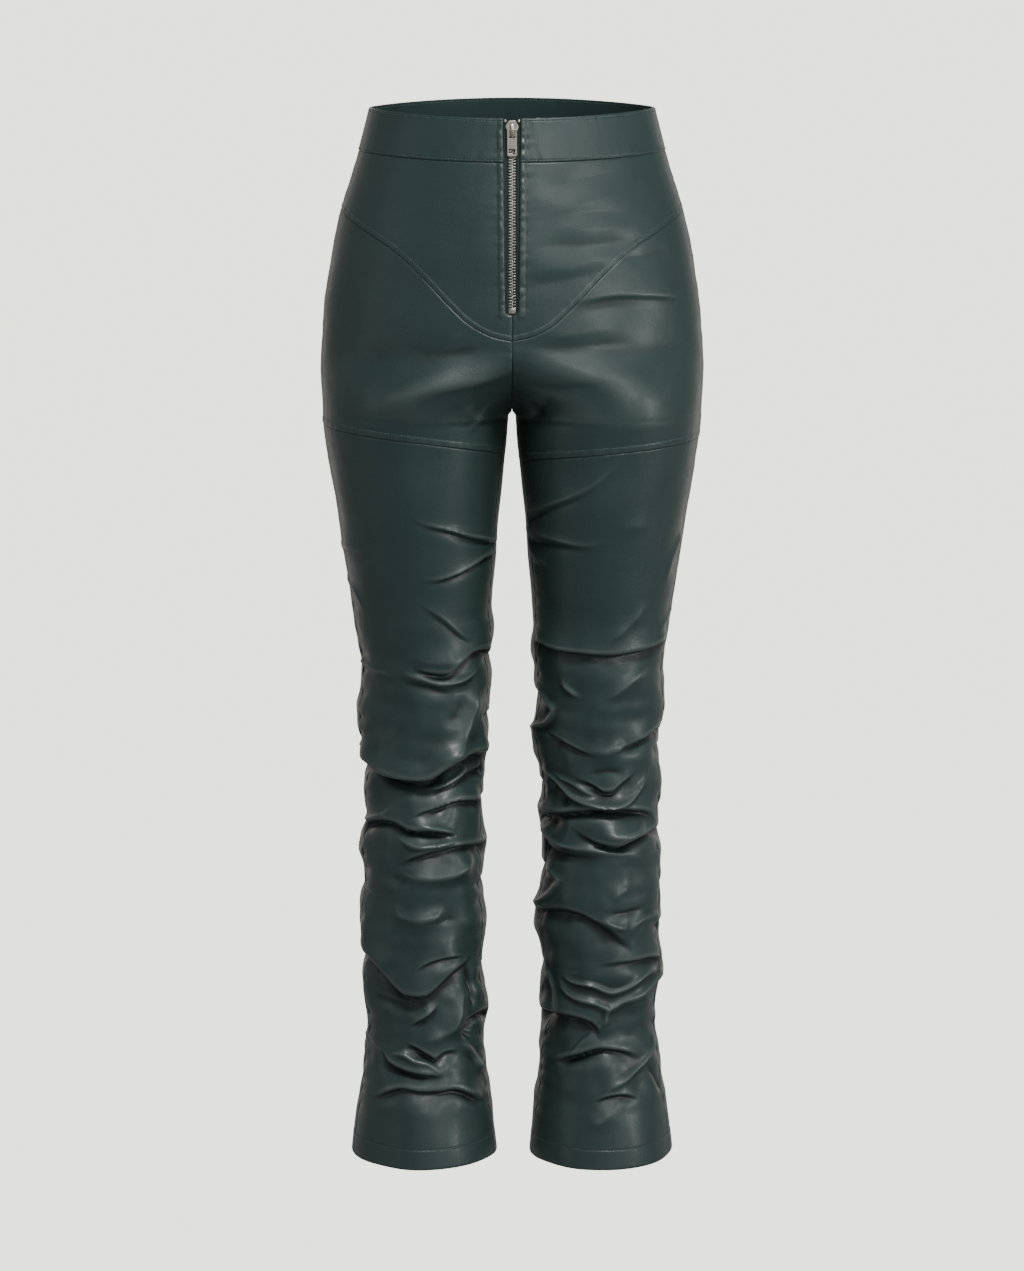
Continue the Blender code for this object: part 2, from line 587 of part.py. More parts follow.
def rounded_box(half_width, top, bottom, corner, steps=3):
    """Outline of a plate with round corners."""
    outline = []
    centres = ((half_width - corner, bottom - corner, 0), (corner - half_width, bottom - corner, 90),
               (corner - half_width, top + corner, 180), (half_width - corner, top + corner, 270))
    for x, low, start in centres:
        for k in range(steps + 1):
            angle = math.radians(start + 90.0 * k / steps)
            outline.append((x + corner * math.cos(angle), low + corner * math.sin(angle)))
    return outline


SLIDER_DROP = 6.0
# Right half of the slider's front plate, from its top: narrow crown, round shoulders, body
CrownPoint = namedtuple("CrownPoint", "half down")
CROWN = (
    CrownPoint(2.2, 0.0), CrownPoint(3.2, 0.5), CrownPoint(4.2, 2.1), CrownPoint(5.3, 4.0),
    CrownPoint(5.7, 5.4), CrownPoint(5.5, 6.6), CrownPoint(4.8, 7.9), CrownPoint(4.2, 9.6),
    CrownPoint(4.1, 12.8), CrownPoint(3.6, 13.8), CrownPoint(2.8, 14.2),
)
SLIDER_LENGTH = 14.2
SLIDER_HALF = 4.2
SLIDER_TOP_OUT = 1.0    # outer face of the front plate, before the panels' faces
SLIDER_PLATE = 1.8
SLIDER_BACK_OUT = -3.8
SLIDER_BACK_PLATE = 1.2
SLIDER_NECK = 4.9       # length of the neck, above the chain's top tooth
BRIDGE_HALF = 1.5
BRIDGE_TOP = 2.6
BRIDGE_END = 13.4
BRIDGE_BAR = 1.2
BRIDGE_ROOM = 1.9       # room under the bridge
TAB_HALF = 4.25
TAB_THICK = 1.2
TAB_AXIS_DOWN = 8.3     # from the slider's top
TAB_AXIS_OUT = 2.0
TAB_LENGTH = 23.3
TAB_SLOT_HALF = 2.7
TAB_SLOT_END = 7.6
TAB_HOLE_TOP = 16.9
TAB_HOLE_END = 21.1
STOP_INNER = 5.0
STOP_OUTER = 7.0
STOP_HEIGHT = 2.4


def slider():
    """Slider body in one piece: front plate, neck, back plate and bridge."""
    frame = zip_frame(SLIDER_DROP)
    low, high = SLIDER_TOP_OUT - SLIDER_PLATE, SLIDER_TOP_OUT
    back_low, back_high = SLIDER_BACK_OUT - SLIDER_BACK_PLATE, SLIDER_BACK_OUT
    bridge_high = high + BRIDGE_ROOM + BRIDGE_BAR
    foot = 0.15
    finish = material("slider_metal", METAL, 0.3, 1.0)
    body_bm = bmesh.new()
    crown = [(p.half, p.down) for p in CROWN] + [(-p.half, p.down) for p in reversed(CROWN)]
    extruded(body_bm, frame, crown, "face", low, high)
    body = add_object("zip_slider", body_bm, finish)
    neck_bm = bmesh.new()
    block(neck_bm, frame, (-1.6, 1.6), (0.6, SLIDER_NECK), (back_low + foot, high - foot))
    back_bm = bmesh.new()
    extruded(back_bm, frame, rounded_box(SLIDER_HALF - 0.3, 0.0, SLIDER_LENGTH - 0.6, 1.4), "face",
             back_low, back_high)
    bridge_bm = bmesh.new()
    arch = ((BRIDGE_TOP, high - foot), (BRIDGE_TOP, bridge_high - 1.0), (BRIDGE_TOP + 1.0, bridge_high),
            (BRIDGE_END - 1.0, bridge_high), (BRIDGE_END, bridge_high - 1.0), (BRIDGE_END, high - foot),
            (BRIDGE_END - BRIDGE_BAR, high - foot), (BRIDGE_END - BRIDGE_BAR, high + BRIDGE_ROOM),
            (BRIDGE_TOP + BRIDGE_BAR, high + BRIDGE_ROOM), (BRIDGE_TOP + BRIDGE_BAR, high - foot))
    extruded(bridge_bm, frame, arch, "side", -BRIDGE_HALF, BRIDGE_HALF)
    for k, part_bm in enumerate((neck_bm, back_bm, bridge_bm)):
        part = add_object("slider_part_%d" % k, part_bm, finish)
        part.hide_render = True
        part.display_type = "WIRE"
        join = body.modifiers.new("join_%d" % k, "BOOLEAN")
        join.operation = "UNION"
        join.object = part


def pull_tab():
    """Flat pull: a top bar under the bridge, a slot round it, and a square hole near its end."""
    point, down, out = zip_frame(SLIDER_DROP)
    axis = point + down * TAB_AXIS_DOWN + out * TAB_AXIS_OUT
    half_bar = TAB_THICK / 2.0
    mesh_bm = bmesh.new()
    frame = (np.zeros(3), down, out)
    extruded(mesh_bm, frame, rounded_box(TAB_HALF, -half_bar, TAB_LENGTH, 1.1), "face", -half_bar, half_bar)
    tab = add_object("zip_pull_tab", mesh_bm, material("tab_metal", METAL, 0.3, 1.0))
    tab.location = axis * MM
    for k, (top, bottom) in enumerate(((half_bar, TAB_SLOT_END), (TAB_HOLE_TOP, TAB_HOLE_END))):
        hole_bm = bmesh.new()
        block(hole_bm, frame, (-TAB_SLOT_HALF, TAB_SLOT_HALF), (top, bottom), (-2.0, 2.0))
        hole = add_object("tab_hole_%d" % k, hole_bm, tab.data.materials[0])
        hole.location = tab.location
        hole.hide_render = True
        hole.display_type = "WIRE"
        cut = tab.modifiers.new("cut_%d" % k, "BOOLEAN")
        cut.operation = "DIFFERENCE"
        cut.object = hole


def zip_stops():
    """Top stops on the tapes and the box stop at the chain's end."""
    finish = material("stop_metal", METAL, 0.35, 1.0)
    for label, side in SIDES:
        mesh_bm = bmesh.new()
        block(mesh_bm, zip_frame(ZIP_TOP - 1.6), (side * STOP_INNER, side * STOP_OUTER),
              (0.0, STOP_HEIGHT), (-1.5, 0.3))
        add_object("zip_top_stop_" + label, mesh_bm, finish)
    mesh_bm = bmesh.new()
    block(mesh_bm, zip_frame(CHAIN_END + 0.3), (-CHAIN_HALF, CHAIN_HALF), (0.0, 4.6), (-3.7, -0.8))
    add_object("zip_bottom_stop", mesh_bm, finish)


waistband_fronts()
waistband_back()
yokes()
thighs()
front_legs()
backs()
zip_runs()
slider()
pull_tab()
zip_stops()
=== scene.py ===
import math
from collections import namedtuple

import bmesh
import bpy
import numpy as np
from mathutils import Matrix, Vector


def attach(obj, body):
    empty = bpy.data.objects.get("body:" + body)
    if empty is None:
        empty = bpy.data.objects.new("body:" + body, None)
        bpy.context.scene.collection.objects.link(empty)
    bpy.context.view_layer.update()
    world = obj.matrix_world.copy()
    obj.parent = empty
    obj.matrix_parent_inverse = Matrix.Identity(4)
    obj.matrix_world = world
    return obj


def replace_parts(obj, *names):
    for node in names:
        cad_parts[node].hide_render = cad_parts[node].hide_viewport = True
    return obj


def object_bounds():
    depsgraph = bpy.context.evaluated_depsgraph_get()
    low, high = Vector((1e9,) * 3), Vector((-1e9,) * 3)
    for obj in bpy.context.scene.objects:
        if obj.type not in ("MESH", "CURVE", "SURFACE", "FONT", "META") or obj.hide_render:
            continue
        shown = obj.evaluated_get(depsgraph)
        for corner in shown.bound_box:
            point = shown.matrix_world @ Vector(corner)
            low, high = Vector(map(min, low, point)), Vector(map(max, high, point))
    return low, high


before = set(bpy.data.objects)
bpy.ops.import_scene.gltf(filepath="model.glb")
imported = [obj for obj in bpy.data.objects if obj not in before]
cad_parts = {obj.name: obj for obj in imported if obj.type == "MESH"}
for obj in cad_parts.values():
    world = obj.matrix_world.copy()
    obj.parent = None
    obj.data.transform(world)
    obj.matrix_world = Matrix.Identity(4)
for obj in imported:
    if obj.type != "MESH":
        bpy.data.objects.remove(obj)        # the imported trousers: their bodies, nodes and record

cad_low, cad_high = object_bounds()

# ---- The studio ---------------------------------------------------------------------------
# The trousers hang filled out over a plain pale paper floor, which fills the picture behind
# them. The main soft box hangs high in front, smaller ones on the right of the picture draw
# the highlights on the hips, and two rims behind part the sides from the paper.

CAMERA_BACK = 4.0
CAMERA_UP = 0.14
CAMERA_TILT = math.radians(8.75)
LENS = 125.9
FLOOR_BELOW_HEM = 0.35
FLOOR_RADIUS = 400.0
PAPER = (0.955, 1.0, 0.87)
PAPER_GLOW = 2.6
AIM = Vector((0.0, 0.0, -0.45))

camera = bpy.data.objects.new("camera", bpy.data.cameras.new("camera"))
bpy.context.scene.collection.objects.link(camera)
camera.location = (0.0, -CAMERA_BACK, CAMERA_UP)
camera.rotation_euler = (math.radians(90.0) - CAMERA_TILT, 0.0, 0.0)
camera.data.lens = LENS
camera.data.clip_end = 1000.0
bpy.context.scene.camera = camera

paper = bpy.data.materials.new("pale_paper")
paper.use_nodes = True
paper_shader = paper.node_tree.nodes["Principled BSDF"]
paper_shader.inputs["Base Color"].default_value = (0.03, 0.03, 0.03, 1.0)
paper_shader.inputs["Roughness"].default_value = 0.9
paper_shader.inputs["Specular IOR Level"].default_value = 0.0
paper_shader.inputs["Emission Color"].default_value = (*PAPER, 1.0)
paper_shader.inputs["Emission Strength"].default_value = PAPER_GLOW

floor_bm = bmesh.new()
bmesh.ops.create_circle(floor_bm, cap_ends=True, segments=96, radius=FLOOR_RADIUS)
floor_mesh = bpy.data.meshes.new("floor")
floor_bm.to_mesh(floor_mesh)
floor_bm.free()
floor_mesh.materials.append(paper)
floor = bpy.data.objects.new("floor", floor_mesh)
floor.location = (0.0, 0.0, cad_low.z - FLOOR_BELOW_HEM)
floor.visible_diffuse = False
floor.visible_glossy = False
floor.visible_shadow = False
bpy.context.scene.collection.objects.link(floor)

SoftBox = namedtuple("SoftBox", "name azimuth elevation distance width height power colour")
SOFT_BOXES = (
    SoftBox("band", 18, 25, 3.0, 0.5, 0.5, 7, (1.0, 0.99, 0.97)),
    SoftBox("yoke", 41, 15, 2.9, 0.7, 0.5, 12, (1.0, 0.99, 0.97)),
    SoftBox("hip", 66, 3, 2.7, 0.6, 0.7, 15, (1.0, 0.985, 0.96)),
    SoftBox("high", 16, 50, 2.6, 0.6, 0.45, 44, (1.0, 1.0, 0.99)),
    SoftBox("low", -6, -13, 3.4, 2.4, 0.6, 2, (1.0, 1.0, 1.0)),
    SoftBox("left", -66, 8, 3.0, 1.4, 2.2, 5, (1.0, 0.97, 0.94)),
    SoftBox("rim_right", 146, 6, 2.4, 0.5, 2.2, 4, (1.0, 0.86, 0.74)),
    SoftBox("rim_left", -146, 6, 2.4, 0.5, 2.2, 3.5, (1.0, 0.86, 0.74)),
    SoftBox("back", 180, 35, 3.4, 1.6, 1.2, 34, (1.0, 1.0, 1.0)),
)
for box in SOFT_BOXES:
    light = bpy.data.lights.new("soft_box_" + box.name, "AREA")
    light.shape = "RECTANGLE"
    light.size = box.width
    light.size_y = box.height
    light.energy = box.power
    light.color = box.colour
    turn, rise = math.radians(box.azimuth), math.radians(box.elevation)
    toward = Vector((math.sin(turn) * math.cos(rise), -math.cos(turn) * math.cos(rise), math.sin(rise)))
    lamp = bpy.data.objects.new("soft_box_" + box.name, light)
    lamp.location = AIM + toward * box.distance
    lamp.rotation_euler = toward.to_track_quat("Z", "Y").to_euler()
    lamp.visible_camera = False
    bpy.context.scene.collection.objects.link(lamp)

room = bpy.data.worlds.new("room")
room.use_nodes = True
bpy.context.scene.world = room
ROOM_LIGHT = 0.3
room_nodes = room.node_tree.nodes
room_links = room.node_tree.links
dim_room = room_nodes["Background"]
dim_room.inputs["Color"].default_value = (0.93, 0.97, 1.0, 1.0)
dim_room.inputs["Strength"].default_value = ROOM_LIGHT
seen_room = room_nodes.new("ShaderNodeBackground")
seen_room.inputs["Color"].default_value = (*PAPER, 1.0)
seen_room.inputs["Strength"].default_value = PAPER_GLOW
room_mix = room_nodes.new("ShaderNodeMixShader")
room_path = room_nodes.new("ShaderNodeLightPath")
room_links.new(room_path.outputs["Is Camera Ray"], room_mix.inputs["Fac"])
room_links.new(dim_room.outputs["Background"], room_mix.inputs[1])
room_links.new(seen_room.outputs["Background"], room_mix.inputs[2])
room_links.new(room_mix.outputs["Shader"], room_nodes["World Output"].inputs["Surface"])

# ---- Back legs ----------------------------------------------------------------------------
# Two long panels of faux leather, each the whole seat and back leg in one. They are cut about
# a fifth longer than the leg that they cover, and pushed up into folds between the seams.

MM = 0.001
WALL = 1.5
SEAM_HALF = -0.06       # neighbouring panels are sewn edge to edge, with no daylight between
BAND_HEIGHT = 38.5
BAND_PROUD = 0.5
CROTCH_DROP = 270.0
FRONT_CURVE = 65.0
BACK_CURVE = 100.0
HEM_DROP = 955.0
ARC_RADIUS = 62.0
RISE_EASE = 0.12
SIDES = (("right", -1), ("left", 1))    # the wearer's right leg stands at -X

# The leg's section at each drop below the waist: how far it reaches out from the middle and in
# towards it, its depth in front and behind, and how far back its axis lies
Section = namedtuple("Section", "drop out inner front back axis_y")
SECTIONS = (
    Section(-10, 125.5, 0.0, 91, 93, 0), Section(0, 128.0, 0.0, 92, 95, 0),
    Section(45, 140.0, 0.0, 99, 106, 0), Section(90, 154.0, 0.0, 106, 118, 0),
    Section(150, 166.0, 0.0, 111, 128, 0), Section(200, 171.3, 0.0, 112, 131, 0),
    Section(240, 172.5, 0.0, 109, 129, 0), Section(270, 171.0, 0.4, 104, 124, 0),
    Section(273, 170.9, 2.6, 103.6, 123.3, 0), Section(280, 170.5, 3.4, 102.6, 121.6, 0),
    Section(300, 168.0, 5.0, 99, 118, 0),
    Section(350, 160.0, 10.5, 92, 106, 0), Section(400, 152.5, 14.5, 84, 93, 1),
    Section(450, 145.0, 18.3, 76, 83, 2), Section(500, 138.0, 20.5, 69, 76, 3),
    Section(560, 135.0, 22.5, 64, 70, 4), Section(620, 133.5, 26.5, 62, 67, 5),
    Section(700, 135.5, 27.0, 62, 66, 5), Section(780, 135.5, 27.5, 62, 66, 5),
    Section(840, 133.0, 27.0, 61, 66, 4), Section(880, 138.5, 23.5, 66, 69, 2),
    Section(920, 144.5, 17.5, 74, 76, 1), Section(955, 148.2, 14.5, 81, 81, 0),
)

# Points on each fold's line, as degrees round the leg and drop below the waist, then the height
# of the roll above the line, the depth of the crease on it, and the reach of each
Fold = namedtuple("Fold", "path lip dip up down")
FOLDS = {
    -1: (
        # thigh
        Fold(((82, 358), (92, 364), (107, 370), (122, 376), (140, 382), (188, 390)),
             2.2, 1.8, 4.5, 3.2),
        Fold(((88, 414), (107, 413), (119, 410), (133, 406), (146, 401), (180, 395)), 2.4, 1.8, 6, 3.6),
        Fold(((-6, 390), (34, 392), (56, 393)), 1.1, 0, 3, 2.6),
        Fold(((4, 418), (29, 434), (40, 451)), 1.3, 0, 3.4, 3.4),
        # knee
        Fold(((88, 437), (105, 452), (123, 469), (139, 479)), 1.6, 0.8, 7, 6),
        Fold(((73, 479), (83, 487), (102, 490), (118, 489), (136, 482)), 2.99, 0, 9, 8),
        Fold(((173, 488), (139, 486), (125, 493), (113, 502), (100, 503), (88, 501), (78, 495)),
             4.49, 4.78, 9, 4),
        Fold(((67, 491), (77, 502), (91, 507), (104, 510), (118, 509), (134, 505), (151, 493)),
             2.95, 0, 2.3, 2.02),
        Fold(((64, 504), (79, 511), (95, 514), (108, 517), (119, 521)), 0, 2.99, 9, 5),
        Fold(((9, 495), (47, 501), (66, 505)), 1.32, 0, 1.87, 1.87),
        Fold(((147, 515), (136, 539), (126, 559), (113, 574), (93, 580)), 4.49, 0, 9, 9),
        Fold(((128, 520), (119, 537), (107, 553)), 0, 2.39, 26, 8),
        # first stack, under the knee
        Fold(((-16, 574), (3, 587), (35, 592), (52, 600), (66, 604), (86, 605), (98, 602),
              (110, 593), (125, 583), (179, 587)), 9.11, 9.71, 17, 11),
        Fold(((86, 609), (101, 607), (115, 604), (128, 598), (136, 592), (132, 581)),
             3.83, 0, 2.45, 2.02),
        Fold(((90, 617), (106, 613), (124, 605), (169, 595)), 0, 4.19, 10, 6),
        Fold(((75, 636), (86, 631), (102, 628), (122, 624), (161, 626)), 2.24, 4.19, 8, 5),
        Fold(((81, 638), (96, 641), (112, 646), (126, 654)), 2.5, 0, 2.45, 2.16),
        Fold(((6, 653), (45, 641), (62, 642), (77, 647), (97, 648), (126, 653)), 4.21, 6.58, 9, 5),
        Fold(((63, 651), (74, 657), (82, 660), (97, 660), (112, 658), (126, 653)), 3.54, 0, 2.45, 2.02),
        Fold(((-11, 647), (16, 642), (42, 634), (62, 621)), 2.66, 0, 2.16, 2.16),
        Fold(((62, 682), (76, 676), (92, 670), (112, 666), (187, 669)), 3.09, 4.49, 8, 6),
        Fold(((60, 683), (76, 688), (98, 691), (118, 690), (134, 684), (151, 672)), 4.21, 0, 8, 7),
        Fold(((55, 690), (68, 693), (80, 699)), 0, 1.79, 18, 6),
        Fold(((-6, 698), (30, 706), (48, 715)), 1.76, 0, 2.02, 2.02),
        Fold(((58, 715), (71, 724), (86, 727), (100, 725), (114, 720)), 3.93, 0, 7, 8),
        Fold(((86, 733), (108, 730), (134, 729)), 0, 2.09, 26, 8),
        # second stack, over the hem
        Fold(((80, 775), (96, 768), (112, 765), (134, 766)), 1.68, 2.99, 8, 6),
        Fold(((-17, 756), (15, 769), (41, 779), (56, 791), (69, 801), (83, 803), (97, 800),
              (109, 791), (121, 782), (134, 776), (150, 768)), 7.0, 8.5, 19, 11),
        Fold(((27, 801), (52, 808), (69, 811), (86, 810), (100, 806)), 0, 2.69, 8, 5),
        Fold(((75, 831), (86, 825), (98, 818), (108, 809)), 2.24, 3.89, 8, 5),
        Fold(((134, 789), (129, 809), (120, 829), (103, 838), (82, 840)), 5.05, 0, 9, 9),
        Fold(((69, 844), (84, 850), (94, 856), (100, 860), (107, 856), (127, 855)), 2.81, 6.28, 9, 6),
        Fold(((53, 857), (59, 852), (70, 852), (82, 858), (96, 863), (107, 874)), 3.38, 0, 2.16, 2.02),
        Fold(((40, 850), (55, 863), (72, 870), (87, 874), (109, 877)), 3.37, 7.77, 7, 8),
        Fold(((-8, 845), (29, 848), (52, 857)), 1.91, 0, 1.87, 1.87),
        Fold(((38, 901), (54, 892), (68, 887), (87, 889), (105, 889), (120, 888), (136, 894),
              (154, 904)), 3.37, 4.49, 9, 5),
        Fold(((138, 772), (142, 794), (145, 820)), 0, 4.49, 12, 4),
        Fold(((186, 828), (150, 827), (137, 835), (147, 848)), 0, 6.72, 14, 4),
        Fold(((128, 845), (143, 856), (160, 875)), 2.21, 0, 2.16, 2.16),
        # behind
        Fold(((352, 480), (280, 502), (205, 488)), 6, 4.8, 15, 10),
        Fold(((345, 524), (270, 550), (215, 530)), 7.2, 5.4, 15, 10),
        Fold(((354, 584), (275, 606), (200, 584)), 9.6, 6.6, 17, 10),
        Fold(((338, 640), (285, 653), (210, 634)), 6, 4.8, 14, 9),
        Fold(((350, 692), (265, 716), (205, 690)), 8.4, 6, 17, 10),
        Fold(((348, 760), (275, 790), (205, 766)), 9.6, 6.6, 18, 10),
        Fold(((350, 843), (268, 870), (202, 845)), 8.4, 6.6, 16, 10),
        Fold(((325, 905), (270, 893), (222, 904)), 3.6, 3.6, 10, 12),
    ),
    1: (
        # thigh
        Fold(((179, 369), (136, 350), (121, 341), (106, 330), (93, 318), (84, 308), (74, 300)),
             1.7, 0, 3.6, 3.6),
        Fold(((164, 369), (130, 351), (110, 337), (94, 324)), 0, 1.4, 10, 3.6),
        Fold(((187, 376), (142, 377), (123, 381), (109, 383), (94, 381), (80, 377)), 1.6, 0, 3.2, 3),
        Fold(((159, 384), (131, 386), (112, 387), (96, 389)), 0, 1.4, 10, 4),
        Fold(((169, 382), (151, 399), (137, 413)), 1.4, 0, 3.2, 3.2),
        Fold(((85, 365), (72, 363), (56, 366)), 0.9, 0, 6, 6),
        Fold(((47, 434), (62, 449), (74, 462), (90, 474)), 1.8, 0, 5.5, 5.5),
        Fold(((14, 376), (29, 399), (36, 426)), 1.4, 0, 4, 4),
        Fold(((11, 445), (27, 458), (45, 470)), 1.3, 0, 4, 4),
        # knee
        Fold(((174, 476), (85, 484), (4, 477)), 5.4, 5.4, 9, 8),
        Fold(((131, 506), (119, 516), (106, 525)), 2.95, 0, 2.52, 2.52),
        Fold(((38, 494), (57, 505), (72, 516), (88, 526)), 3.37, 0, 6, 6),
        Fold(((168, 517), (144, 529), (136, 536), (140, 544), (188, 561)), 3.24, 0, 2.45, 2.3),
        Fold(((105, 563), (96, 570), (85, 573), (75, 570), (65, 563)), 4.21, 0, 6, 7),
        Fold(((149, 561), (123, 567), (109, 572), (91, 581)), 2.53, 4.49, 10, 6),
        Fold(((-9, 561), (38, 563), (61, 570), (82, 580)), 2.53, 4.78, 10, 6),
        # first stack
        Fold(((108, 595), (86, 591), (65, 595)), 0, 2.69, 10, 5),
        Fold(((146, 595), (132, 601), (115, 605), (101, 612), (86, 616)), 2.79, 0, 2.3, 2.02),
        Fold(((161, 592), (138, 604), (119, 615), (101, 621), (84, 624), (69, 621), (55, 613),
              (43, 602), (32, 589)), 4.13, 0, 2.59, 2.3),
        Fold(((120, 598), (100, 606), (90, 613), (81, 613), (69, 605), (49, 594)), 2.24, 4.78, 9, 5),
        Fold(((151, 605), (136, 614), (120, 625)), 0, 5.38, 14, 6),
        Fold(((189, 640), (116, 631), (91, 629), (61, 629), (40, 633), (25, 642)), 3.09, 6.28, 7, 5),
        Fold(((191, 645), (147, 641), (122, 640)), 0, 6.72, 12, 7),
        Fold(((94, 647), (78, 652), (62, 650), (48, 643), (37, 636)), 4.77, 0, 8, 8),
        Fold(((125, 643), (108, 655), (92, 662), (73, 664), (60, 658), (41, 654), (-12, 651)),
             4.49, 6.88, 9, 5),
        Fold(((186, 653), (135, 658), (109, 664), (88, 667), (71, 668), (53, 667)), 3.83, 0, 2.45, 2.3),
        Fold(((167, 664), (138, 669), (116, 672), (87, 673)), 0, 6.28, 10, 8),
        Fold(((163, 686), (140, 690), (133, 695), (140, 704), (188, 726)), 2.95, 0, 2.3, 2.3),
        Fold(((85, 709), (74, 702), (59, 696)), 2.38, 0, 6, 6),
        Fold(((91, 720), (69, 721), (41, 720)), 0, 2.39, 10, 5),
        Fold(((95, 724), (82, 731), (61, 738)), 2.79, 0, 2.3, 2.3),
        Fold(((65, 742), (52, 734), (13, 734)), 2.21, 0, 2.16, 2.16),
        # second stack
        Fold(((186, 734), (136, 724), (115, 725), (101, 731), (87, 738), (76, 747), (65, 756),
              (61, 767)), 4.77, 5.98, 15, 11),
        Fold(((96, 775), (73, 770), (51, 771), (-7, 776)), 1.82, 3.59, 8, 6),
        Fold(((139, 779), (117, 785), (97, 789), (81, 796), (65, 793), (48, 786), (17, 781)),
             3.24, 0, 2.3, 2.16),
        Fold(((138, 775), (126, 793), (112, 800), (96, 805), (83, 810), (69, 805), (53, 802),
              (34, 794), (-6, 782)), 4.13, 0, 2.74, 2.45),
        Fold(((82, 806), (85, 814), (86, 827)), 2.95, 0, 2.3, 2.3),
        Fold(((190, 825), (150, 824), (127, 822), (109, 824), (96, 831), (92, 843)),
             6.17, 9.71, 14, 11),
        Fold(((141, 863), (110, 856), (90, 850), (75, 852), (46, 861)), 3.09, 4.78, 8, 6),
        Fold(((19, 838), (34, 855), (48, 866), (62, 874), (77, 880), (95, 886)), 2.95, 0, 2.45, 2.45),
        Fold(((44, 858), (31, 880), (19, 897)), 0, 2.69, 10, 5),
        Fold(((97, 896), (86, 891), (73, 890), (54, 897)), 1.96, 3.29, 9, 6),
        Fold(((105, 910), (91, 913), (84, 907), (77, 895)), 2.24, 0, 6, 6),
        Fold(((163, 771), (145, 788), (136, 807), (137, 828)), 3.24, 0, 2.3, 2.3),
        # behind
        Fold(((352, 476), (275, 499), (205, 477)), 6, 4.8, 15, 10),
        Fold(((342, 540), (262, 562), (208, 544)), 7.2, 5.4, 15, 10),
        Fold(((352, 593), (280, 620), (202, 597)), 9.6, 6.6, 17, 10),
        Fold(((348, 655), (270, 678), (198, 652)), 8.4, 6, 16, 10),
        Fold(((340, 718), (285, 738), (208, 722)), 7.2, 5.4, 15, 10),
        Fold(((352, 778), (270, 808), (200, 780)), 9.6, 6.6, 18, 10),
        Fold(((338, 838), (262, 862), (204, 838)), 8.4, 6, 16, 10),
        Fold(((318, 898), (275, 889), (232, 900)), 3.6, 3.6, 10, 12),
    ),
}

# Smaller creases, drag lines and thin ridges between those
CREASES = {
    -1: (
        Fold(((56, 188), (70, 191), (82, 195)), 1.04, 0, 16.25, 17.55),
        Fold(((57, 208), (75, 208), (88, 197)), 0, 0.95, 26, 17.55),
        Fold(((66, 250), (88, 240), (112, 224)), 3.78, 0, 18.2, 15.6),
        Fold(((85, 256), (103, 241), (126, 234)), 0, 1.35, 22.75, 14.04),
        Fold(((111, 253), (120, 262), (130, 270)), 0.94, 0, 3.25, 3.25),
        Fold(((126, 250), (130, 265), (123, 280)), 0.94, 0, 3.25, 3.25),
        Fold(((128, 261), (129, 271), (125, 281)), 0.81, 0, 2.86, 2.86),
    ),
    1: (
        Fold(((83, 71), (64, 56), (44, 48)), 0, 0.95, 26, 15.86),
        Fold(((84, 90), (62, 76), (40, 68)), 0.91, 0, 14.56, 15.86),
        Fold(((75, 87), (60, 87), (45, 86)), 0, 0.95, 19.5, 12.35),
        Fold(((79, 100), (61, 100), (41, 96)), 1.27, 0, 13, 12.35),
        Fold(((85, 118), (65, 113), (42, 109)), 0, 1.15, 22.75, 14.04),
        Fold(((86, 143), (70, 132), (51, 121)), 1.15, 0, 14.56, 14.04),
        Fold(((90, 154), (75, 146), (57, 135)), 0, 1.05, 22.75, 14.04),
        Fold(((56, 128), (44, 124), (28, 119)), 0, 0.95, 16.25, 14.04),
        Fold(((76, 169), (58, 165), (44, 164), (26, 168)), 1.1, 0.5, 12, 12),
        Fold(((75, 171), (56, 171), (34, 170)), 0, 1.05, 19.5, 14.04),
        Fold(((87, 197), (68, 189), (49, 185)), 1.5, 0, 13, 14.04),
        Fold(((94, 207), (71, 202), (45, 198)), 0, 1.26, 26, 17.55),
        Fold(((100, 238), (77, 231), (51, 226)), 1.61, 0, 16.25, 15.86),
        Fold(((121, 233), (101, 240), (75, 239)), 0, 2.31, 22.75, 14.04),
        Fold(((130, 250), (133, 260), (140, 274)), 0, 2.03, 7.8, 6.5),
        Fold(((108, 242), (123, 256), (148, 278)), 0, 2.43, 9.1, 7.8),
    ),
}

# Bulges of the pushed-up cloth at the leg's two edges
Puff = namedtuple("Puff", "deg drop height reach")
PUFFS = {
    -1: (
        Puff(2, 547, 5.5, 24), Puff(0, 612, 2.5, 17), Puff(0, 668, 3.5, 17), Puff(0, 730, 4.0, 19),
        Puff(2, 798, 3.5, 26), Puff(180, 468, 2.5, 12), Puff(178, 516, 2.5, 15),
        Puff(180, 572, 2.5, 16), Puff(182, 668, 2.5, 16), Puff(180, 736, 3.0, 22),
        Puff(178, 815, 5.0, 20), Puff(78, 246, 5.0, 24),
    ),
    1: (
        Puff(0, 533, 3.0, 20), Puff(0, 613, 3.0, 15), Puff(0, 692, 2.0, 24), Puff(0, 783, 3.0, 20),
        Puff(180, 487, 3.5, 13), Puff(178, 568, 4.5, 18), Puff(180, 641, 3.5, 14),
        Puff(180, 735, 6.5, 22), Puff(180, 808, 2.0, 20), Puff(84, 262, 1.4, 18),
    ),
}
PUFF_DEGREES = 32.0


def smooth(value):
    """Ramp from 0 to 1 with flat ends."""
    value = np.clip(value, 0.0, 1.0)
    return value * value * (3.0 - 2.0 * value)


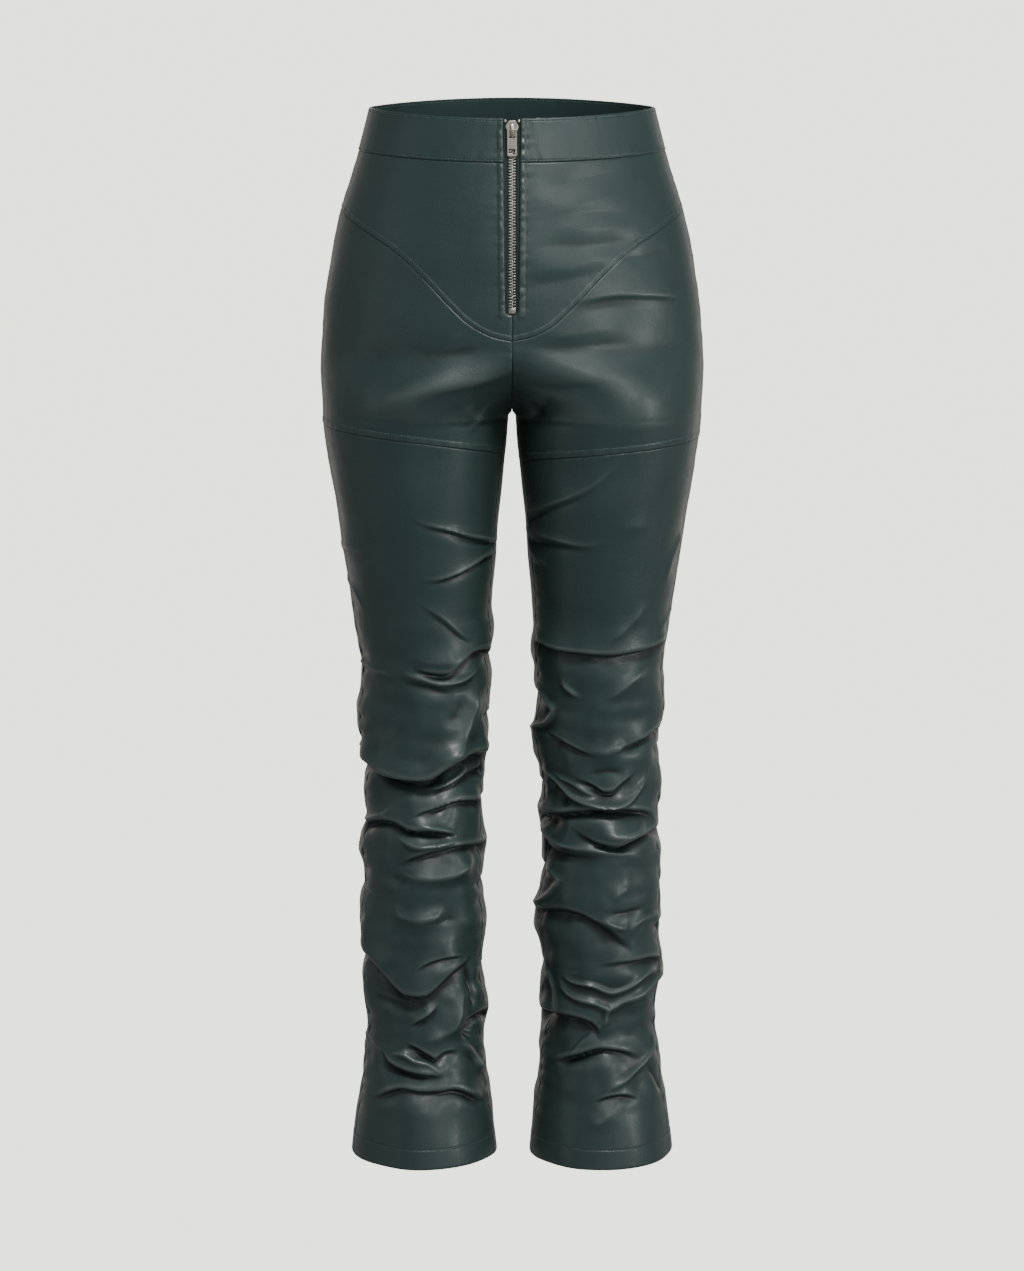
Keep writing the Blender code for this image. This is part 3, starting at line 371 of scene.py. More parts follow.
def curve_through(known, values, at):
    """Smooth curve through a short table."""
    known = np.asarray(known, float)
    values = np.asarray(values, float)
    slopes = np.gradient(values, known)
    at = np.clip(at, known[0], known[-1])
    low = np.clip(np.searchsorted(known, at) - 1, 0, len(known) - 2)
    span = known[low + 1] - known[low]
    part = (at - known[low]) / span
    rise = part * part * (3.0 - 2.0 * part)
    return (values[low] + rise * (values[low + 1] - values[low])
            + span * (part * (1.0 - part) ** 2 * slopes[low]
                      - part * part * (1.0 - part) * slopes[low + 1]))


def section(column, drop):
    """One size of the leg's section at a drop."""
    return curve_through([row.drop for row in SECTIONS],
                         [getattr(row, column) for row in SECTIONS], drop)


def leg_centre(drop, is_front):
    """Centre and half width of the leg's ellipse, which reaches past the middle above the crotch."""
    out = section("out", drop)
    inner = section("inner", drop)
    curve = np.where(is_front, FRONT_CURVE, BACK_CURVE)
    started = 1.0 - (CROTCH_DROP - drop) / curve
    started = np.clip((started + np.sqrt(started ** 2 + RISE_EASE ** 2)) / 2.0, 0.0, 1.0)
    turn = (1.0 - (1.0 - started) ** 1.5) ** 1.4
    centre = np.where(drop < CROTCH_DROP, out * turn / (1.0 + turn), (out + inner) / 2.0)
    return centre, out - centre


def hidden_creases(side):
    """Small creases of the back of the leg, like those of the front, and soft ones under the seat."""
    draw = np.random.RandomState(40 + side)
    found = []
    for k in range(30):
        deg = draw.uniform(212, 340)
        drop = 468 + 14.2 * k + draw.uniform(-8, 8)
        half = draw.uniform(12, 30)
        tilt = draw.uniform(-13, 13)
        path = ((deg - half, drop - tilt), (deg, drop + draw.uniform(2, 9)), (deg + half, drop + tilt))
        found.append(Fold(path, draw.uniform(1.0, 3.0), draw.uniform(1.0, 2.8), draw.uniform(5, 11),
                          draw.uniform(5, 10)))
    for k in range(5):
        deg = 256 + draw.uniform(-34, 34)
        drop = 268 + 39 * k + draw.uniform(-15, 15)
        half = draw.uniform(14, 36)
        path = ((deg - half, drop + draw.uniform(-4, 16)), (deg, drop),
                (deg + half, drop + draw.uniform(-12, 8)))
        found.append(Fold(path, draw.uniform(0.5, 1.6), draw.uniform(0.5, 1.7), 12, 13))
    return tuple(found)


def company(side):
    """Smaller folds nested above and below each big one behind, as pushed-up cloth lies."""
    draw = np.random.RandomState(20 + side)
    found = []
    for fold in FOLDS[side]:
        (start_deg, start_drop), (mid_deg, mid_drop), (end_deg, end_drop) = fold.path[:3]
        if fold.lip + fold.dip < 9.0 or mid_deg < 190.0:
            continue
        for way in (-1.0, 1.0):
            off = way * draw.uniform(0.95, 1.35) * (fold.up if way < 0 else fold.down + 3.0)
            first, last = draw.uniform(0.1, 0.35), draw.uniform(0.62, 0.92)
            bow = mid_drop - (start_drop + end_drop) / 2.0
            path = []
            for part in (first, (first + last) / 2.0, last):
                sag = bow * 4.0 * part * (1.0 - part)
                drop = start_drop + (end_drop - start_drop) * part + off + sag
                path.append((start_deg + (end_deg - start_deg) * part, drop + draw.uniform(-2.0, 2.0)))
            found.append(Fold(tuple(path), fold.lip * draw.uniform(0.15, 0.35),
                              fold.dip * draw.uniform(0.12, 0.35),
                              draw.uniform(6.0, 10.0), draw.uniform(6.0, 10.0)))
    return tuple(found)


CREASES = {side: CREASES[side] + hidden_creases(side) + company(side) for _, side in SIDES}
LINE_STEPS = 24
SEAM_DEGREES = (6.0, 170.0)     # the side seam and the inseam, where folds start
BIG_LIP = 3.0           # rolls from this height on are big ones
SEAM_FADE = 0.15        # a fold starts sharply at a seam and dies away slowly at a free end
FREE_FADE = 0.3
FINE_FADE = 0.4
STEEPEST = 2.5          # shortest way over which a roll rises from its crease
ROLL_RISE = 1.45        # makes up for the roll's fall, so that it reaches its full height
SIDE_CALM = 0.45        # a roll is lower where it crosses the seams
BIG_RIDGE = 0.14        # the thin ridge along a roll, as a share of its height
FINE_RIDGE = 0.5


def fade_share(deg, lip):
    """Share of a fold over which it dies away, at an end that lies at these degrees."""
    to_seam = min(abs((deg - seam + 180.0) % 360.0 - 180.0) for seam in SEAM_DEGREES)
    free = FREE_FADE if lip >= BIG_LIP else FINE_FADE
    return SEAM_FADE + (free - SEAM_FADE) * float(smooth((to_seam - 8.0) / 26.0))


def fold_line(path):
    """Smooth line through a fold's points: millimetres round from its first point, and drop."""
    degs, drops = np.array(path, float).T
    around = (degs - degs[0]) * math.radians(ARC_RADIUS)
    way = np.concatenate([[0.0], np.cumsum(np.hypot(np.diff(around), np.diff(drops)))])
    at = np.linspace(0.0, way[-1], LINE_STEPS + 1)
    return curve_through(way, around, at), curve_through(way, drops, at)


def fold_height(fold, deg, drop, height):
    """Add a fold's height to the points near its line: a lip over a crease, dying away at its ends."""
    line_x, line_z = fold_line(fold.path)
    first_deg = fold.path[0][0]
    middle = (line_x.min() + line_x.max()) / 2.0
    round_leg = math.pi * ARC_RADIUS
    around = (deg - first_deg) * math.radians(ARC_RADIUS)
    around = (around - middle + round_leg) % (2.0 * round_leg) - round_leg + middle
    reach = 3.2 * max(fold.up, fold.down)
    close = ((around > line_x.min() - reach) & (around < line_x.max() + reach)
             & (drop > line_z.min() - reach) & (drop < line_z.max() + reach))
    around, drop = around[close], drop[close]
    nearest = np.full(around.shape, 1e9)
    signed = np.zeros(around.shape)
    along = np.zeros(around.shape)
    across = abs(line_x[-1] - line_x[0]) > abs(line_z[-1] - line_z[0])
    for k in range(LINE_STEPS):
        run_x, run_z = line_x[k + 1] - line_x[k], line_z[k + 1] - line_z[k]
        part = ((around - line_x[k]) * run_x + (drop - line_z[k]) * run_z) / (run_x ** 2 + run_z ** 2)
        part = np.clip(part, 0.0, 1.0)
        off_x = around - line_x[k] - part * run_x
        off_z = drop - line_z[k] - part * run_z
        distance = np.hypot(off_x, off_z)
        closer = distance < nearest
        nearest = np.where(closer, distance, nearest)
        above = off_x * run_z - off_z * run_x
        if (line_x[-1] < line_x[0]) if across else (run_z < 0.0):
            above = -above
        signed = np.where(closer, np.where(above > 0, distance, -distance), signed)
        along = np.where(closer, (k + part) / LINE_STEPS, along)
    fade = smooth(along / fade_share(first_deg, fold.lip))
    fade = fade * smooth((1.0 - along) / fade_share(fold.path[-1][0], fold.lip))
    if fold.dip == 0.0:
        width = np.where(signed > 0, fold.up, fold.down)
        shape = fold.lip * np.exp(-((np.hypot(signed, 0.5) - 0.5) / width) ** 1.3)
    else:
        rise = np.maximum(signed, 0.0)
        edge = max(0.3 * fold.up, STEEPEST)
        roll = ROLL_RISE * fold.lip * (1.0 - np.exp(-(rise / edge) ** 2))
        roll = roll * np.exp(-(rise / fold.up / 1.25) ** 1.3)
        share = BIG_RIDGE if fold.lip >= BIG_LIP else FINE_RIDGE
        ridge = fold.lip * share * np.exp(-((signed - 1.2 * edge) / (0.36 * edge)) ** 2)
        from_side = np.abs((deg[close] + 90.0) % 180.0 - 90.0)
        roll = roll * (SIDE_CALM + (1.0 - SIDE_CALM) * smooth((from_side - 4.0) / 28.0))
        width = np.where(signed > 0, fold.up * 0.25, fold.down)
        crease = fold.dip * np.exp(-((np.hypot(signed, 0.9) - 0.9) / width) ** 1.2)
        shape = roll + ridge - crease
    height[close] += fade * shape


def swell(points, length, seed, upright=1.0):
    """Smooth random swell about 1 high; upright squeezes its waves along the leg."""
    draw = np.random.RandomState(seed)
    total = np.zeros(points.shape[:-1])
    count = 14
    for _ in range(count):
        direction = draw.normal(size=3)
        direction /= np.linalg.norm(direction)
        direction[2] *= upright
        turns = 2.0 * math.pi / (length * draw.uniform(0.7, 1.5))
        total += np.sin(points @ (direction * turns) + draw.uniform(0.0, 2.0 * math.pi))
    return total / math.sqrt(count / 2.0)


def notches(side):
    """Sharp tucks round the leg's edges, between the bulges there."""
    found = []
    for middle in (0, 180):
        bulges = [puff for puff in PUFFS[side] if abs(puff.deg - middle) < 20]
        bulges.sort(key=lambda puff: puff.drop)
        for upper, lower in zip(bulges, bulges[1:]):
            gap = ((lower.drop - lower.reach) + (upper.drop + upper.reach)) / 2.0
            lean = 5.0 if middle == 0 else -5.0
            path = ((middle - 34, gap - lean), (middle, gap), (middle + 30, gap + lean))
            found.append(Fold(path, 0.8, 2.2, 9, 7))
    return tuple(found)


WANDER_DROP = 2.4       # how far a fold's line strays from its smooth curve
WANDER_DEG = 2.0
PUFF_GAIN = 1.15
HIP_SWELL = 0.2         # heights of the soft swells between the folds
STACK_SWELL = 0.62
STACK_RIPPLE = 0.13
FLARE_SWELL = 0.9
DROOP = 0.12            # a roll sags over its crease by this share of its height
STACK_START = 400.0     # the cloth is pushed up more and more from here on, to near the hem
STACK_GROWS = 150.0
STACK_END = HEM_DROP - 22.0
FLARE_START = 880.0


def cloth_face(side, deg, drop):
    """Outer face in millimetres: deg runs from the outer side over the front, drop from the waist."""
    deg, drop = np.broadcast_arrays(np.asarray(deg, float), np.asarray(drop, float))
    angle = np.radians(deg)
    is_front = np.sin(angle) >= 0.0
    centre, half = leg_centre(drop, is_front)
    depth = np.where(is_front, section("front", drop), section("back", drop))
    x = centre + half * np.cos(angle)
    y = section("axis_y", drop) - depth * np.sin(angle)
    plain = np.stack([side * x, y, -drop], axis=-1)

    stacked = smooth((drop - STACK_START) / STACK_GROWS) * smooth((STACK_END - drop) / 50.0)
    strays = 0.4 + (0.6 * stacked) * ~is_front
    fold_deg = deg + WANDER_DEG * strays * swell(plain, 60.0, 3)
    fold_drop = drop + WANDER_DROP * strays * swell(plain, 48.0, 4)
    height = np.zeros(deg.shape)
    for fold in FOLDS[side] + CREASES[side] + notches(side):
        fold_height(fold, fold_deg, fold_drop, height)
    height *= 1.0 + 0.16 * stacked * swell(plain, 55.0, 5)
    for puff in PUFFS[side]:
        around = ((deg - puff.deg + 180.0) % 360.0 - 180.0) / PUFF_DEGREES
        up_down = np.abs((fold_drop - puff.drop) / puff.reach)
        height += PUFF_GAIN * puff.height * np.exp(-around ** 2 - up_down ** 2.6)

    below_hip = smooth((drop - 60.0) / 60.0)
    height += HIP_SWELL * below_hip * swell(plain, 58.0, 11, 1.3)
    ripple = STACK_SWELL * swell(plain, 44.0, 12, 1.5) + STACK_RIPPLE * swell(plain, 21.0, 13, 1.3)
    height += stacked * ripple
    flared = smooth((drop - FLARE_START) / 50.0)
    height += FLARE_SWELL * flared * swell(plain, 58.0, 16, 0.15)

    lean = np.hypot(depth * np.cos(angle), half * np.sin(angle))
    x = x + height * depth * np.cos(angle) / lean
    y = y - height * half * np.sin(angle) / lean
    z = -drop - DROOP * np.maximum(height, 0.0)
    return np.stack([side * x, y, z], axis=-1)


SIDE_RISE = 2.6         # the band's top edge at the side seams, over the level of the origin
FRONT_DIP = 6.6
BACK_RISE = 5.4


def waist_edge(deg):
    """Drop of the waist's top edge: lower in front, higher behind."""
    swing = np.sin(np.radians(deg))
    return np.where(swing > 0, -SIDE_RISE + FRONT_DIP * swing ** 2, -SIDE_RISE - BACK_RISE * swing ** 2)


def side_seam(drop):
    """Degrees of the side seam, which turns forward down the leg."""
    return 3.0 + 12.0 * smooth((drop - 300.0) / 150.0)


def middle_edge(drop, is_front, edge):
    """Degrees where a panel ends: at edge from the middle, or at the inseam below the crotch."""
    centre, half = leg_centre(drop, is_front)
    to_middle = np.degrees(np.arccos(np.clip((edge - centre) / half, -1.0, 1.0)))
    forward = 18.0 * smooth((drop - CROTCH_DROP) / 30.0)
    inseam_gap = np.degrees(SEAM_HALF / 60.0)
    if is_front:
        return np.where(drop < CROTCH_DROP, to_middle, 180.0 - forward - inseam_gap)
    return -np.where(drop < CROTCH_DROP, to_middle, 180.0 + forward - inseam_gap)


def spread(length, coarse, fine):
    """Shares of the way along a length: coarse steps, with closer ones round each fine place."""
    at = np.linspace(0.0, length, 6000)
    density = np.full(at.shape, 1.0 / coarse)
    for place, reach, step in fine:
        density += (1.0 / step - 1.0 / coarse) * np.exp(-((at - place) / reach) ** 2)
    count = np.concatenate([[0.0], np.cumsum((density[1:] + density[:-1]) / 2.0 * np.diff(at))])
    rows = int(round(count[-1]))
    return np.interp(np.linspace(0.0, count[-1], rows + 1), count, at) / length


EDGE = (0.0, 2.2, 0.5)  # closer steps where a panel's edge turns down into its seam

Cut = namedtuple("Cut", "face normal top bottom side middle")


def lay_out(face, facing):
    """A panel's face with its normals and the distance of every point from its four edges."""
    normal = np.cross(np.gradient(face, axis=0), np.gradient(face, axis=1))
    normal /= np.linalg.norm(normal, axis=-1, keepdims=True)
    if np.mean(normal[..., 1]) * facing < 0.0:
        normal = -normal
    down_steps = np.linalg.norm(np.diff(face, axis=0), axis=-1)
    down = np.concatenate([np.zeros((1, face.shape[1])), np.cumsum(down_steps, axis=0)])
    across_steps = np.linalg.norm(np.diff(face, axis=1), axis=-1)
    across = np.concatenate([np.zeros((face.shape[0], 1)), np.cumsum(across_steps, axis=1)], axis=1)
    down_way = np.gradient(face, axis=0)
    across_way = np.gradient(face, axis=1)
    down_way /= np.linalg.norm(down_way, axis=-1, keepdims=True)
    across_way /= np.linalg.norm(across_way, axis=-1, keepdims=True)
    square = np.sqrt(1.0 - np.clip(np.sum(down_way * across_way, axis=-1), -0.97, 0.97) ** 2)
    return Cut(face, normal, down * square[:1], (down[-1:] - down) * square[-1:],
               across * square[:, :1], (across[:, -1:] - across) * square[:, -1:])


def turned_edge(distance, depth=0.5, reach=0.7):
    """The cloth rolls down into a seam."""
    return -depth * np.exp(-(distance / reach) ** 2)


def puckers(distance, run, size, reach, seed):
    """Short gathers that die away from a seam; run is the way along it."""
    draw = np.random.RandomState(seed)
    wave = np.zeros(run.shape)
    for _ in range(6):
        wave += np.sin(run * 2.0 * math.pi / (reach * draw.uniform(1.1, 2.8)) + draw.uniform(0.0, 6.28))
    return size * wave / 1.7 * np.exp(-distance / reach) * (1.0 - np.exp(-distance / 1.2))


CRUMPLE = 0.18
CRUMPLED_STRIP = 6.5


def crinkle(cut, from_zip, seed):
    """Small crumples in the strip that is folded back beside the zip."""
    return CRUMPLE * swell(cut.face, 8.0, seed, 1.3) * np.exp(-(from_zip / CRUMPLED_STRIP) ** 4)


def soften(values, size):
    """Average over a square of grid points."""
    for axis in (0, 1):
        before = [(0, 0)] * values.ndim
        before[axis] = (size + 1, size)
        total = np.cumsum(np.pad(values, before, mode="edge"), axis=axis)
        high = np.take(total, range(2 * size + 1, total.shape[axis]), axis=axis)
        low = np.take(total, range(0, total.shape[axis] - 2 * size - 1), axis=axis)
        values = (high - low) / (2 * size + 1)
    return values


INNER_STEP = 3          # the inner face has every third point of the outer one
RISE_CLOSE = 2.2
BENDS = (("bend", 4), ("hollow", 12))   # how far a point stands over its near and wide surroundings


def sew_panel(name, cut, relief, thick, finishes, side):
    """One cloth shell: a fine outer face, a coarser inner one, and a rim round both."""
    way = cut.normal.copy()
    # The two sides of the rise keep together
    way[..., 0] *= 1.0 - np.exp(-(cut.face[..., 0] / RISE_CLOSE) ** 2)
    face = cut.face + way * relief[..., None]
    inner = cut.face - way * np.broadcast_to(thick, relief.shape)[..., None]
    for grid in (face, inner):
        grid[..., 0] = side * np.maximum(side * grid[..., 0], SEAM_HALF) if side else grid[..., 0]
    rows, columns = relief.shape
    number = np.arange(rows * columns).reshape(rows, columns)
    quads = np.stack([number[:-1, :-1], number[:-1, 1:], number[1:, 1:], number[1:, :-1]],
                     axis=-1).reshape(-1, 4)
    first = face.reshape(-1, 3)[quads[0]]
    flip = np.dot(np.cross(first[1] - first[0], first[2] - first[1]), cut.normal[0, 0]) < 0.0
    if flip:
        quads = quads[:, ::-1]
    faces = quads.tolist()

    row_stops = sorted(set(range(0, rows, INNER_STEP)) | {rows - 1})
    column_stops = sorted(set(range(0, columns, INNER_STEP)) | {columns - 1})
    kept = {}
    points = [face.reshape(-1, 3)]
    extra = []
    for r in range(rows):
        on_edge = r in (0, rows - 1)
        if not on_edge and r not in row_stops:
            stops = (0, columns - 1)
        else:
            stops = range(columns) if on_edge else column_stops
        for c in stops:
            kept[r, c] = rows * columns + len(extra)
            extra.append(inner[r, c])
    points.append(np.array(extra))
    inner_start = len(faces)
    for r0, r1 in zip(row_stops, row_stops[1:]):
        for c0, c1 in zip(column_stops, column_stops[1:]):
            top = [(r0, c) for c in (range(c0, c1 + 1) if r0 == 0 else (c0, c1))]
            right = [(r, c1) for r in range(r0 + 1, r1)] if c1 == columns - 1 else []
            bottom = [(r1, c) for c in (range(c1, c0 - 1, -1) if r1 == rows - 1 else (c1, c0))]
            left = [(r, c0) for r in range(r1 - 1, r0, -1)] if c0 == 0 else []
            ring = [kept[key] for key in top + right + bottom + left]
            faces.append(ring if flip else ring[::-1])
    inner_end = len(faces)
    rim = ([(0, c) for c in range(columns)] + [(r, columns - 1) for r in range(1, rows)]
           + [(rows - 1, c) for c in range(columns - 2, -1, -1)]
           + [(r, 0) for r in range(rows - 2, 0, -1)])
    for (r, c), (next_r, next_c) in zip(rim, rim[1:] + rim[:1]):
        strip = [number[r, c], number[next_r, next_c], kept[next_r, next_c], kept[r, c]]
        faces.append(strip if flip else strip[::-1])

    mesh = bpy.data.meshes.new(name)
    mesh.from_pydata((np.concatenate(points) * MM).tolist(), [], faces)
    for finish in finishes:
        mesh.materials.append(finish)
    slots = np.zeros(len(faces), np.int32)
    slots[inner_start:inner_end] = len(finishes) - 1
    mesh.polygons.foreach_set("material_index", slots)
    for label, reach in BENDS:
        bend = np.sum((face - soften(face, reach)) * cut.normal, axis=-1)
        values = np.concatenate([bend.ravel(), np.zeros(len(extra))])
        attribute = mesh.attributes.new(label, "FLOAT", "POINT")
        attribute.data.foreach_set("value", values.astype(np.float32))
    mesh.shade_smooth()
    mesh.set_sharp_from_angle(angle=math.radians(75.0))
    made = bpy.data.objects.new(name, mesh)
    bpy.context.scene.collection.objects.link(made)
    return made


# Faux leather: polyurethane on a knitted back, dark green, satin, with a fine pressed grain
LEATHER_DEEP = (0.0096, 0.0292, 0.0270, 1.0)
LEATHER_LIT = (0.0138, 0.0365, 0.0338, 1.0)
# Pale crest colour: rubbed wear, and also a painted highlight along the crests
LEATHER_WORN_AND_HIGHLIGHT = (0.063, 0.085, 0.078, 1.0)
# Painted shade, laid into the creases and the broad hollows
LEATHER_PAINTED_SHADE = (0.0025, 0.008, 0.0077, 1.0)
BACKING = (0.018, 0.032, 0.032, 1.0)


def put(tree, kind, settings=None, sockets=None):
    """Add a node with its own settings, and its sockets as values or as links."""
    made = tree.nodes.new(kind)
    for name, value in (settings or {}).items():
        setattr(made, name, value)
    for key, value in (sockets or {}).items():
        if isinstance(value, bpy.types.NodeSocket):
            tree.links.new(value, made.inputs[key])
        else:
            made.inputs[key].default_value = value
    return made


def node_group(name, inputs, outputs):
    """Empty shader group with named sockets, and its two end nodes."""
    group = bpy.data.node_groups.new(name, "ShaderNodeTree")
    for label, kind, value in inputs:
        socket = group.interface.new_socket(label, in_out="INPUT", socket_type=kind)
        if value is not None:
            socket.default_value = value
    for label, kind in outputs:
        group.interface.new_socket(label, in_out="OUTPUT", socket_type=kind)
    return group, group.nodes.new("NodeGroupInput"), group.nodes.new("NodeGroupOutput")


def blank_material(name):
    """New node material, its tree, its Principled shader and the place of each point."""
    made = bpy.data.materials.new(name)
    made.use_nodes = True
    tree = made.node_tree
    place = put(tree, "ShaderNodeTexCoord").outputs["Object"]
    return made, tree, tree.nodes["Principled BSDF"], place


def reckoned(tree, operation, first, second):
    """Sum, difference or product of two values."""
    return put(tree, "ShaderNodeMath", {"operation": operation}, {0: first, 1: second}).outputs[0]


def ranged(tree, value, ends):
    """A value brought from one range to another."""
    return put(tree, "ShaderNodeMapRange", None, {"Value": value, **ends}).outputs["Result"]


def blended(tree, share, first, second):
    """Two colours mixed by a share."""
    return put(tree, "ShaderNodeMix", {"data_type": "RGBA"},
               {0: share, 6: first, 7: second}).outputs[2]


def textured(tree, group, place, label, value):
    """One of the shared patterns at a size of its own."""
    return put(tree, "ShaderNodeGroup", {"node_tree": group}, {"Vector": place, label: value}).outputs[0]


def bumped(tree, height, strength, distance):
    """Normals of a surface with a fine relief."""
    return put(tree, "ShaderNodeBump", None,
               {"Height": height, "Strength": strength, "Distance": distance}).outputs["Normal"]


def finish_shader(shader, sockets):
    """Set the shader's own sockets, to values or to links."""
    for name, value in sockets.items():
        if isinstance(value, bpy.types.NodeSocket):
            shader.id_data.links.new(value, shader.inputs[name])
        else:
            shader.inputs[name].default_value = value


# Pressed grain: small uneven pebbles with fine noise on them
grain, grain_in, grain_out = node_group(
    "pressed_grain", [("Vector", "NodeSocketVector", None), ("Pebbles", "NodeSocketFloat", 800.0)],
    [("Height", "NodeSocketFloat")])
pebble = put(grain, "ShaderNodeTexVoronoi", {"feature": "SMOOTH_F1"},
             {"Vector": grain_in.outputs["Vector"], "Scale": grain_in.outputs["Pebbles"],
              "Smoothness": 0.5, "Randomness": 1.0})
speckle = put(grain, "ShaderNodeTexNoise", None,
              {"Vector": grain_in.outputs["Vector"], "Scale": 700.0, "Detail": 5.0, "Roughness": 0.65})
pebble_part = reckoned(grain, "MULTIPLY", pebble.outputs["Distance"], -0.55)
grain_sum = reckoned(grain, "ADD", pebble_part, speckle.outputs["Fac"])
grain.links.new(grain_sum, grain_out.inputs["Height"])

# Slow drift of tone over a large piece
drift, drift_in, drift_out = node_group(
    "tone_drift", [("Vector", "NodeSocketVector", None), ("Size", "NodeSocketFloat", 14.0)],
    [("Mask", "NodeSocketFloat")])
cloud = put(drift, "ShaderNodeTexNoise", None,
            {"Vector": drift_in.outputs["Vector"], "Scale": drift_in.outputs["Size"], "Detail": 4.0,
             "Roughness": 0.55})
cloud_range = ranged(drift, cloud.outputs["Fac"], {"From Min": 0.3, "From Max": 0.7})
drift.links.new(cloud_range, drift_out.inputs["Mask"])

# Crests are painted lighter, partly as rubbed wear and partly as a painted highlight, and are glossier;
# creases and hollows get painted shade
leather, leather_tree, leather_shader, leather_place = blank_material("green_faux_leather")
leather_grain = textured(leather_tree, grain, leather_place, "Pebbles", 1500.0)
leather_drift = textured(leather_tree, drift, leather_place, "Size", 12.0)
leather_patch = textured(leather_tree, drift, leather_place, "Size", 90.0)
leather_bend = put(leather_tree, "ShaderNodeAttribute", {"attribute_name": "bend"}).outputs["Fac"]
leather_hollow = put(leather_tree, "ShaderNodeAttribute", {"attribute_name": "hollow"}).outputs["Fac"]
# Crest mask for the pale colour: rubbed wear and a painted highlight
crest_wear_and_highlight = ranged(leather_tree, leather_bend, {"From Min": 0.22, "From Max": 1.1, "To Max": 0.7})
# Painted shade in the creases, and on the next line in the broad hollows
folded = ranged(leather_tree, leather_bend, {"From Min": -0.08, "From Max": -0.6, "To Max": 0.85})
shaded = ranged(leather_tree, leather_hollow, {"From Min": 0.0, "From Max": -2.0, "To Max": 0.7})
leather_tone = blended(leather_tree, leather_drift, LEATHER_DEEP, LEATHER_LIT)
leather_worn_and_highlit = blended(leather_tree, crest_wear_and_highlight, leather_tone, LEATHER_WORN_AND_HIGHLIGHT)
leather_crease_shaded = blended(leather_tree, folded, leather_worn_and_highlit, LEATHER_PAINTED_SHADE)
leather_shade = blended(leather_tree, shaded, leather_crease_shaded, LEATHER_PAINTED_SHADE)
leather_satin = ranged(leather_tree, leather_patch, {"To Min": 0.44, "To Max": 0.53})
crest_polish = reckoned(leather_tree, "MULTIPLY", crest_wear_and_highlight, 0.16)
finish_shader(leather_shader, {
    "Base Color": leather_shade,
    "Roughness": reckoned(leather_tree, "SUBTRACT", leather_satin, crest_polish),
    "Normal": bumped(leather_tree, leather_grain, 0.6, 0.0002),
    "Coat Weight": 0.17, "Coat Roughness": 0.25,
    "Sheen Weight": 0.05, "Sheen Roughness": 0.45, "Sheen Tint": (1.0, 0.82, 0.68, 1.0),
})

# The knitted back of the cloth, seen inside the waist and the hems
backing, backing_tree, backing_shader, backing_place = blank_material("knitted_backing")
backing_grain = textured(backing_tree, grain, backing_place, "Pebbles", 1500.0)
backing_drift = textured(backing_tree, drift, backing_place, "Size", 220.0)
finish_shader(backing_shader, {
    "Base Color": blended(backing_tree, backing_drift, BACKING, LEATHER_LIT),
    "Roughness": 0.88,
    "Normal": bumped(backing_tree, backing_grain, 0.7, 0.0003),
})

# Where the rows of the panels meet the middle in front and behind, and how far down the side
# seam the same rows lie, as a share of the way from the V seam to the thigh seam
Rise = namedtuple("Rise", "front_drop back_drop side")
RISE_ROWS = (
    Rise(198, 150, 0.0), Rise(212, 182, 0.12), Rise(226, 208, 0.25), Rise(240, 229, 0.38),
    Rise(251, 246, 0.50), Rise(260, 258, 0.61), Rise(266, 266, 0.71), Rise(270, 270, 0.80),
    Rise(275, 275, 0.85), Rise(284, 284, 0.90), Rise(295, 295, 0.95),
)
SEAT_DROPS = (30.5, 72, 112)
YOKE_SIDE_DROP = 86.0
ThighSeam = namedtuple("ThighSeam", "outer_drop inner_drop bend")
THIGH_SEAM = {-1: ThighSeam(280, 306, 1.7), 1: ThighSeam(292, 312, 1.7)}
ROW_SAG = 20.0          # the folds' rows sag by this between the seams
HEM_TURN = 18.0         # stitched turn-up of the hem
HEM_LAYER = 1.1
STITCH_GROOVE = 0.3     # depth to which a row of stitches pulls the cloth in


def swag(drop, share):
    """Extra drop of a row between its two seams, none at the thigh seam and the hem."""
    pushed_up = smooth((drop - 330.0) / 130.0) * smooth((HEM_DROP - drop) / 60.0)
    return ROW_SAG * pushed_up * 4.0 * share * (1.0 - share)


def hem_thickness(cut):
    """The turn-up doubles the cloth on the inside of the hem."""
    return WALL + HEM_LAYER * smooth((HEM_TURN + 1.0 - cut.bottom) / 1.0)


def leg_relief(cut, seed):
    """Seams down both sides, with gathers where the leg is pushed up, and the hem's stitch groove."""
    drop = -cut.face[..., 2]
    pushed_up = smooth((drop - 380.0) / 120.0) * smooth((HEM_DROP - 25.0 - drop) / 40.0)
    size = 0.1 + 0.45 * pushed_up
    relief = turned_edge(cut.side) + turned_edge(cut.middle)
    relief = relief + puckers(cut.side, drop, size, 9.0, seed)
    relief = relief + puckers(cut.middle, drop, size, 9.0, seed + 1)
    relief = relief - STITCH_GROOVE * np.exp(-((cut.bottom - HEM_TURN) / 0.6) ** 2)
    return relief + 0.25 * smooth((HEM_TURN - cut.bottom) / 1.0) + turned_edge(cut.bottom, 0.5, 0.9)


THREAD_DARK = (0.028, 0.055, 0.052, 1.0)
THREAD_LIT = (0.075, 0.120, 0.112, 1.0)
thread, thread_tree, thread_shader, thread_place = blank_material("green_thread")
thread_twist = put(thread_tree, "ShaderNodeTexWave", {"bands_direction": "DIAGONAL"},
                   {"Vector": thread_place, "Scale": 900.0, "Distortion": 1.5}).outputs["Fac"]
finish_shader(thread_shader, {
    "Base Color": blended(thread_tree, thread_twist, THREAD_DARK, THREAD_LIT),
    "Roughness": 0.42,
    "Normal": bumped(thread_tree, thread_twist, 0.5, 0.0001),
})

STITCH_PITCH = 3.0
STITCH_LENGTH = 2.35
THREAD_RADIUS = 0.33
THREAD_SIDES = 6
